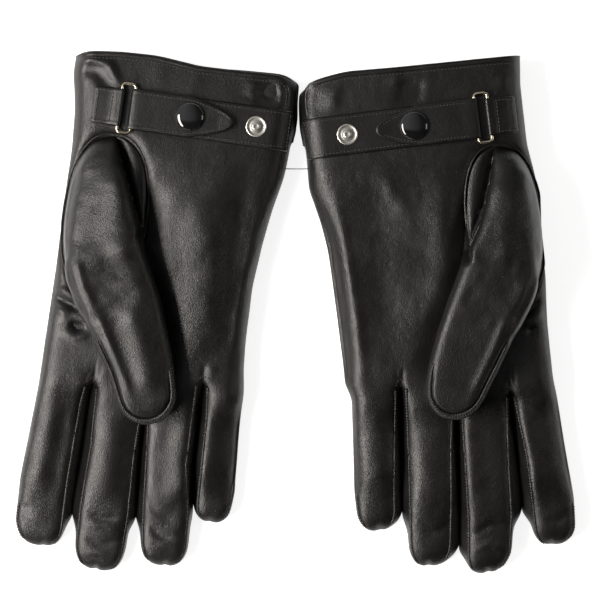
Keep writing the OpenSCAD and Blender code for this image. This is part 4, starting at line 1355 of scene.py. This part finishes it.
STRAP = ("strap_leather", "seam_thread")
STRAP_SEWING = {"pitch": 1.75, "length": 1.2, "radius": 0.2}
TAB_SEWING = {"pitch": 1.8, "length": 1.35, "radius": 0.22}
TAIL_SEWING = {"pitch": 1.6, "length": 1.1, "radius": 0.2}
# Height of each crease along a strap's edge, how far in it lies and its half width
CREASES = ((0.13, 0.8, 0.5), (-0.16, 1.7, 0.35))
# How far behind the loop each stop of the keeper tab is, its rise and its thickness
TAB_STOPS = ((13, 0, 1.2), (12.5, 0, 1.5), (11, 0, 1.6), (9, 0, 1.65), (7, 0, 1.7), (5.2, 0, 1.75),
             (4, 0.1, 1.9), (3, 0.35, 2.0), (1.8, 1.3, 1.5), (1, 1.75, 1.0))


def outward(slope):
    """Direction in which a strap's outer face looks."""
    a = radians(slope)
    return np.array((-sin(a), 0, cos(a)))


def wrapped(bar, radius, degrees, thick, half):
    """Stops that turn round a bar of the loop."""
    return [(bar + radius * cos(radians(a)), BAR_Z + radius * sin(radians(a)),
             a - 90, thick, half) for a in degrees]


def strap_hide(stops, y0, roll=0.45):
    """A closed strap with rolled edges and a creased line inside them, centred on y0."""
    us = np.linspace(-1, 1, 15)
    us = np.sign(us) * (1 - (1 - np.abs(us)) ** 1.35)
    shell = []
    for x, z, slope, thick, half in stops:
        w = np.abs(us) * half
        edge = np.maximum(0, w - (half - roll)) / roll if half > roll else np.abs(us)
        body = thick / 2 * np.sqrt(np.maximum(0, 1 - edge * edge))
        crease = sum(high * np.exp(-(((w - half + inset) / wide) ** 2))
                     for high, inset, wide in CREASES) * (half > 3)
        line = np.stack([np.full(len(us), x), y0 + us * half, np.full(len(us), z)], axis=1)
        n = outward(slope)
        shell.append(np.concatenate([line + n * (body + crease)[:, None],
                                     (line - n * body[:, None])[::-1]]))
    rows, wide = len(shell), 2 * len(us)
    hide = Hide(np.concatenate(shell), grid(rows, wide, True)[:, [0, 3, 2, 1]])
    hide.cap([list(range(wide)), list(range((rows - 1) * wide, rows * wide))[::-1]])
    return hide


def edge_line(stops, inset, side, y0, lift):
    """Points and normals of a line of stitches on a strap's face, near one edge."""
    n = np.array([outward(slope) for _, _, slope, _, _ in stops])
    p = [np.array((x, y0 + side * max(0.0, half - inset), z)) + normal * (thick / 2 + lift)
         for (x, z, _, thick, half), normal in zip(stops, n)]
    return np.array(p), n


def cross_line(stop, inset, y0):
    """Points and normals of a line of stitches across a strap."""
    x, z, slope, thick, half = stop
    n = np.array([outward(slope)] * 16)
    ys = np.linspace(-half + inset, half - inset, len(n))
    return np.array([(x, y0 + y, z) for y in ys]) + n * thick / 2, n


def add_strap_base(hand, y0, half, t):
    """The part of the strap that is sewn to the palm and into the little-side seam."""
    reach = SIDE_RADIUS + t / 2
    xs = np.arange(LAY[hand]["bar_in"] + 2.1, SIDE_TURN, 1.5)
    stops = [(x, PALM_TOP + t / 2, 0.0, t, half) for x in xs]
    stops += [(SIDE_TURN + reach * sin(radians(a)), SIDE_Z + reach * cos(radians(a)),
               -a, t, half) for a in np.linspace(4, 55, 9)]
    hide = strap_hide(stops, y0)
    for side in (-1, 1):
        stitches(hide, *edge_line(stops, 1.7, side, y0, -0.12), **STRAP_SEWING)
    stitches(hide, *cross_line(stops[-2], 2.0, y0), **STRAP_SEWING)
    own(hide.build(f"{hand}_strap_base_leather", hand, STRAP), "strap_leather", "gloves",
        f"{hand}_strap_base")


def add_keeper_tab(hand, y0, half):
    """The tab that is sewn to the hand's index side and holds the loop."""
    bar = LAY[hand]["bar_in"] - LOOP_W
    stops = []
    for s, rise, t in TAB_STOPS:
        x = bar - s
        turn = degrees(max(0.0, TAB_TURN - x) / SIDE_RADIUS)
        a, reach = radians(turn), SIDE_RADIUS + t / 2 + rise
        wide = half - {13: 0.9, 12.5: 0.3}.get(s, 0)
        stops.append((max(x, TAB_TURN) - reach * sin(a), SIDE_Z + reach * cos(a),
                      turn + 3 + 12 * (rise > 1), t, wide))
    stops += wrapped(bar, 1.25, range(90, -80, -17), 0.8, half)
    hide = strap_hide(stops, y0, roll=0.4)
    for side in (-1, 1):
        stitches(hide, *edge_line(stops[1:8], 1.5, side, y0, -0.05), **STRAP_SEWING)
    for stop in (2, 6):
        stitches(hide, *cross_line(stops[stop], 1.6, y0), **TAB_SEWING)
    own(hide.build(f"{hand}_keeper_tab_leather", hand, STRAP), "strap_leather", "gloves",
        f"{hand}_keeper_tab")


def add_strap_tail(hand, y0, half, t, length):
    """The pointed end of the strap, from its turn round the loop's bar."""
    bar, straight = LAY[hand]["bar_in"], length - POINT_RUN
    stops = wrapped(bar, 1.3, range(215, 89, -14), 0.85, half)
    curve = (POINT_RUN * POINT_RUN + half * half) / (2 * half)
    for x in [*np.arange(1.2, straight, 1.4), *np.linspace(straight, length - 0.15, 26)]:
        over = max(0.0, x - straight)
        wide = sqrt(max(0.0, curve * curve - over * over)) - (curve - half)
        wide = min(wide + 0.06 * over, sqrt(4.6 * max(0.0, length - x)))
        dip = -0.075 * smooth(0, 6, x) * smooth(14, 6, x)
        curl = smooth(length - 9, length, x)
        thick = mix(0.9, t, smooth(0, 4, x)) * (0.7 if x > length - 0.6 else 1)
        stops.append((bar + x, BAR_Z + 0.83 + t / 2 + dip + 0.5 * curl, 2.5 * curl, thick,
                      max(0.35, wide)))
    hide = strap_hide(stops, y0)
    for side in (-1, 1):
        p, n = edge_line(stops[11:], 1.75, side, y0, -0.12)
        keep = p[:, 0] < bar + length - 3.6
        stitches(hide, p[keep], n[keep], **TAIL_SEWING)
    own(hide.build(f"{hand}_strap_tail_leather", hand, STRAP), "strap_leather", f"{hand}_tail",
        f"{hand}_strap_tail")


def add_strap(hand):
    strap, y0 = bpy.context.scene.glove_strap, LAY[hand]["strap_y"]
    half, thick = strap.width / MM / 2, strap.thickness / MM
    add_strap_base(hand, y0, half, thick)
    add_keeper_tab(hand, y0, half - 0.75)
    add_strap_tail(hand, y0, half, thick, strap.tail / MM)


# -------- metal parts
# Radius and height of each turn of a profile, at the diameter named

CAP_DIAMETER, STUD_DIAMETER = 13.8, 10
CAP = [(6.2, 23.95), (6.75, 23.9), (6.9, 24.15), (6.88, 24.55), (6.72, 24.95), (6.3, 25.38),
       (5.6, 25.76), (4.6, 26.1), (3.3, 26.38), (1.8, 26.54), (0.6, 26.6)]
STUD = [(4.7, 21.36), (5.0, 21.5), (4.98, 21.8), (4.72, 21.98), (4.35, 21.96), (4.05, 21.8),
        (3.6, 21.68), (3.1, 21.68), (2.75, 21.8), (2.5, 21.86), (2.1, 21.84), (1.85, 21.9),
        (1.8, 22.1), (1.95, 22.3), (2.1, 22.5), (2.08, 22.75), (1.9, 22.95), (1.5, 23.06),
        (1.1, 23.05), (0.8, 22.96), (0.4, 22.9)]


def start_ring(name, segments, radius, location, rotation=(0, 0, 0)):
    """A ring of edges in edit mode, all selected."""
    only()
    bpy.ops.mesh.primitive_circle_add(vertices=segments, radius=radius * MM, fill_type="NOTHING",
                                      location=location, rotation=rotation)
    obj = bpy.context.object
    obj.name = obj.data.name = name
    bpy.ops.object.mode_set(mode="EDIT")
    bpy.ops.mesh.select_all(action="SELECT")
    return obj


def finish_shell(obj, material):
    """Turns a shell's faces outwards, puts its place in its mesh and smooths it."""
    bpy.ops.mesh.normals_make_consistent(inside=False)
    bpy.ops.object.mode_set(mode="OBJECT")
    bpy.ops.object.transform_apply(location=True, rotation=True, scale=True)
    bpy.ops.object.shade_smooth_by_angle(angle=radians(40))
    obj.data.materials.append(finish(material))


def turned(name, profile, hand, x, material, segments=48):
    """A turned piece: a ring is extruded and scaled from stop to stop and closed."""
    y = LAY[hand]["strap_y"]
    r, z = profile[0]
    obj = start_ring(name, segments, r, at(hand, x, y, z))
    for wider, higher in profile[1:]:
        rise, share_of = (0, 0, (higher - z) * MM), wider / r
        bpy.ops.mesh.extrude_region_move(TRANSFORM_OT_translate={"value": rise})
        bpy.ops.transform.resize(value=(share_of, share_of, 1),
                                 center_override=at(hand, x, y, higher))
        r, z = wider, higher
    bpy.ops.mesh.merge(type="CENTER")
    bpy.ops.mesh.select_all(action="SELECT")
    finish_shell(obj, material)
    return obj


def add_snaps(hand):
    strap, snap = bpy.context.scene.glove_strap, LAY[hand]["snap_x"]
    k = strap.cap / MM / CAP_DIAMETER
    dome = [(r * k, z) for r, z in CAP]
    cap = turned(f"{hand}_snap_cap_dome", dome, hand, snap, "cap_enamel", 64)
    own(cap, "cap_enamel", f"{hand}_tail", f"{hand}_snap_cap")
    k = strap.flange / MM / STUD_DIAMETER
    for node, x in ((f"{hand}_snap_stud", snap), (f"{hand}_spare_stud", snap + STUD_PITCH)):
        stud = turned(node + "_turned", [(r * k, z) for r, z in STUD], hand, x, "nickel")
        own(stud, "nickel", "gloves", node)


def wire_loop(name, hand, half, material):
    """The rectangular loop of round wire, extruded and spun round its four corners."""
    lay = LAY[hand]
    x1, y = lay["bar_in"], lay["strap_y"]
    x0, low, high = x1 - LOOP_W, y - half, y + half
    left, right = x0 + LOOP_CORNER, x1 - LOOP_CORNER
    turn = radians(lay["tilt"]) * lay["flip"]
    obj = start_ring(name, 16, WIRE / 2, at(hand, x1, low, BAR_Z), (pi / 2, 0, -turn))
    here = (x1, low)
    for end, pivot in (((x1, high), (right, high)), ((left, high + LOOP_CORNER), (left, high)),
                       ((x0, low), (left, low)), ((right, low - LOOP_CORNER), (right, low))):
        step = at(hand, *end, BAR_Z) - at(hand, *here, BAR_Z)
        bpy.ops.mesh.extrude_region_move(TRANSFORM_OT_translate={"value": step})
        bpy.ops.mesh.spin(steps=8, angle=-lay["flip"] * pi / 2,
                          center=at(hand, *pivot, BAR_Z), axis=(0, 0, 1))
        here = (pivot[0] - (end[1] - pivot[1]), pivot[1] + (end[0] - pivot[0]))
    bpy.ops.mesh.select_all(action="SELECT")
    bpy.ops.mesh.remove_doubles(threshold=0.00002)
    finish_shell(obj, material)
    return obj


def add_hardware(hand):
    half = bpy.context.scene.glove_strap.width / MM / 2 + 0.2
    loop = wire_loop(f"{hand}_strap_loop_wire", hand, half, "pale_gold")
    own(loop, "nickel", f"{hand}_loop", f"{hand}_strap_loop")
    for part in ("snap_socket", "stud_backs"):
        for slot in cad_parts[f"{hand}_{part}"].material_slots:
            slot.material = finish("nickel")


def add_tack_thread():
    low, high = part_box("pair_thread")
    y, z = (low[1] + high[1]) / 2, (low[2] + high[2]) / 2
    rings, sides, radius = 40, 8, 0.00024
    verts = []
    for i, x in enumerate(np.linspace(low[0] - 0.0006, high[0] + 0.0006, rings)):
        u = 2 * i / (rings - 1) - 1
        sag = -0.00015 * (1 - u * u)
        for k in range(sides):
            a = 2 * pi * k / sides
            r = radius * (1 + 0.16 * cos(2 * a + 34 * u))
            verts.append((x, y + sag * 0.6 + r * cos(a), z + sag + r * sin(a)))
    hide = Hide(verts, grid(rings, sides, True)[:, ::-1])
    hide.cap([list(range(sides)), list(range((rings - 1) * sides, rings * sides))[::-1]])
    obj = hide.build("tack_thread_twisted", None, ("tack_thread",))
    own(obj, "thread", "gloves", "pair_thread")


# -------- floor, light and camera

FLOOR_SIZE = 6
FLOOR_COLOUR = (0.8, 0.8, 0.8, 1)
FLOOR_GLOW = 0.84
WHITE = (1, 1, 1, 1)
LIGHT_COLOUR = (1.0, 0.95, 0.9)
# The setting of each soft light's power, and its place, aim and size
SOFTBOXES = (("key", (-0.6, -0.1, 0.60), (-0.02, 0, 0.01), (0.7, 0.24)),
             ("left", (-0.36, -0.75, 0.34), (0, 0.05, 0.01), (0.6, 0.2)),
             ("right", (1.05, 0.1, 0.6), (0, 0, 0.01), (0.4, 0.4)))
SENSOR = 36
SEEN_AT = 0.015  # height at which the camera's view has its width
CAMERA_AT = (0.001, 0.0058)


def add_floor():
    """A pale floor, near white to the camera and in gloss, that keeps the shadow."""
    only()
    bpy.ops.mesh.primitive_plane_add(size=FLOOR_SIZE, location=(0, 0, 0))
    floor = bpy.context.object
    floor.name = "floor"
    material = bpy.data.materials.new("pale_floor")
    m = Nodes(material)
    path = m.add("LightPath", {})
    seen = m.join("MAXIMUM", path["Is Camera Ray"], path["Is Glossy Ray"])
    seen = m.join("MAXIMUM", seen, path["Is Transmission Ray"])
    plain = m.add("BsdfDiffuse", {"Color": FLOOR_COLOUR})[0]
    glow = m.add("Emission", {"Color": WHITE, "Strength": m.join("MULTIPLY", seen, FLOOR_GLOW)})[0]
    m.add("OutputMaterial", {0: m.add("AddShader", {0: plain, 1: glow})[0]})
    floor.data.materials.append(material)


def add_room(brightness):
    """A room that is white to the camera and pale behind and over the gloves."""
    world = bpy.data.worlds.new("room")
    bpy.context.scene.world = world
    m = Nodes(world)
    where = m.add("SeparateXYZ", {0: m.add("TexCoord", {})["Generated"]})
    behind = m.ramp(where["Y"], -0.22, -0.06, 0.0, brightness)
    across = m.ramp(where["X"], -0.3, 0.4, 0.9, 0.06)
    level = m.join("MULTIPLY", behind, across)
    level = m.join("ADD", level, m.add("LightPath", {})["Is Camera Ray"], clamp=True)
    m.add("OutputWorld", {0: m.add("Background", {"Color": WHITE, "Strength": level})[0]})


def add_light(name, location, aim, size, watts):
    data = bpy.data.lights.new(name, "AREA")
    data.shape = "RECTANGLE"
    data.size, data.size_y = size
    data.energy = watts
    data.color = LIGHT_COLOUR
    lamp = bpy.data.objects.new(name, data)
    lamp.location = location
    lamp.rotation_euler = (Vector(aim) - Vector(location)).to_track_quat("-Z", "Y").to_euler()
    bpy.context.scene.collection.objects.link(lamp)


def add_camera(height, width):
    scene = bpy.context.scene
    data = bpy.data.cameras.new("camera")
    data.sensor_width = SENSOR
    data.lens = SENSOR * (height - SEEN_AT) / width
    data.clip_end = 20
    camera = bpy.data.objects.new("camera", data)
    camera.location = (*CAMERA_AT, height)
    scene.collection.objects.link(camera)
    scene.camera = camera


# -------- operators and panel


def for_each_hand(make):
    for hand in HANDS:
        make(hand)
    return {"FINISHED"}


class GLOVE_OT_leather(Operator):
    """Adds the leather of each hand and its four fingers, with their sewn lips"""

    bl_idname = "glove.add_leather"
    bl_label = "Add Hand Leather"
    bl_options = {"REGISTER", "UNDO"}

    def execute(self, context):
        return for_each_hand(add_leather)


class GLOVE_OT_thumbs(Operator):
    """Adds each thumb, from its oval seam to its tip, with its overcast end"""

    bl_idname = "glove.add_thumbs"
    bl_label = "Add Thumbs"
    bl_options = {"REGISTER", "UNDO"}

    def execute(self, context):
        return for_each_hand(add_thumb)


class GLOVE_OT_linings(Operator):
    """Adds the knit lining of each hand, finger and thumb"""

    bl_idname = "glove.add_linings"
    bl_label = "Add Linings"
    bl_options = {"REGISTER", "UNDO"}

    def execute(self, context):
        return for_each_hand(add_lining)


class GLOVE_OT_facings(Operator):
    """Adds the leather facing sewn inside each cuff"""

    bl_idname = "glove.add_facings"
    bl_label = "Add Cuff Facings"
    bl_options = {"REGISTER", "UNDO"}

    def execute(self, context):
        return for_each_hand(add_facing)


class GLOVE_OT_straps(Operator):
    """Adds each wrist strap: its base, its keeper tab and its tail"""

    bl_idname = "glove.add_straps"
    bl_label = "Add Wrist Straps"
    bl_options = {"REGISTER", "UNDO"}

    def execute(self, context):
        return for_each_hand(add_strap)


class GLOVE_OT_snaps(Operator):
    """Adds each snap cap and both studs"""

    bl_idname = "glove.add_snaps"
    bl_label = "Add Snaps"
    bl_options = {"REGISTER", "UNDO"}

    def execute(self, context):
        return for_each_hand(add_snaps)


class GLOVE_OT_hardware(Operator):
    """Adds each metal loop and gives the sockets and stud backs their plated finish"""

    bl_idname = "glove.finish_hardware"
    bl_label = "Finish Metal Parts"
    bl_options = {"REGISTER", "UNDO"}

    def execute(self, context):
        return for_each_hand(add_hardware)


class GLOVE_OT_tack(Operator):
    """Adds the thread that tacks the two gloves together"""

    bl_idname = "glove.add_tack"
    bl_label = "Add Tack Thread"
    bl_options = {"REGISTER", "UNDO"}

    def execute(self, context):
        add_tack_thread()
        return {"FINISHED"}


class GLOVE_OT_stage(Operator):
    """Adds the pale floor, the soft lights and the camera straight above"""

    bl_idname = "glove.add_stage"
    bl_label = "Add Stage"
    bl_options = {"REGISTER", "UNDO"}

    def execute(self, context):
        s = context.scene.glove_stage
        add_floor()
        add_room(s.room)
        for name, *where in SOFTBOXES:
            add_light(name + "_softbox", *where, getattr(s, name))
        add_camera(s.camera_height, s.view_width)
        context.scene.view_settings.view_transform = "Standard"
        return {"FINISHED"}


GROUPS = {"glove_shape": GloveShape, "glove_seams": GloveSeams, "glove_strap": GloveStrap,
          "glove_finish": GloveFinish, "glove_stage": GloveStage}
OPERATORS = (GLOVE_OT_leather, GLOVE_OT_thumbs, GLOVE_OT_linings, GLOVE_OT_facings,
             GLOVE_OT_straps, GLOVE_OT_snaps, GLOVE_OT_hardware, GLOVE_OT_tack, GLOVE_OT_stage)


class GLOVE_PT_panel(Panel):
    bl_idname = "GLOVE_PT_panel"
    bl_label = "Leather Gloves"
    bl_space_type = "VIEW_3D"
    bl_region_type = "UI"
    bl_category = "Gloves"

    def draw(self, context):
        for group in GROUPS:
            settings = getattr(context.scene, group)
            box = self.layout.box()
            for name in settings.__annotations__:
                box.prop(settings, name)
        for operator in OPERATORS:
            self.layout.operator(operator.bl_idname)


def register():
    for cls in (*GROUPS.values(), *OPERATORS, GLOVE_PT_panel):
        bpy.utils.register_class(cls)
    for name, group in GROUPS.items():
        setattr(bpy.types.Scene, name, PointerProperty(type=group))


def unregister():
    for name in GROUPS:
        delattr(bpy.types.Scene, name)
    for cls in (GLOVE_PT_panel, *reversed(OPERATORS), *reversed(GROUPS.values())):
        bpy.utils.unregister_class(cls)


def main():
    register()
    for operator in OPERATORS:
        group, name = operator.bl_idname.split(".")
        if getattr(getattr(bpy.ops, group), name)() != {"FINISHED"}:
            raise RuntimeError(f"{operator.bl_label} did not finish")


if __name__ == "__main__":
    main()
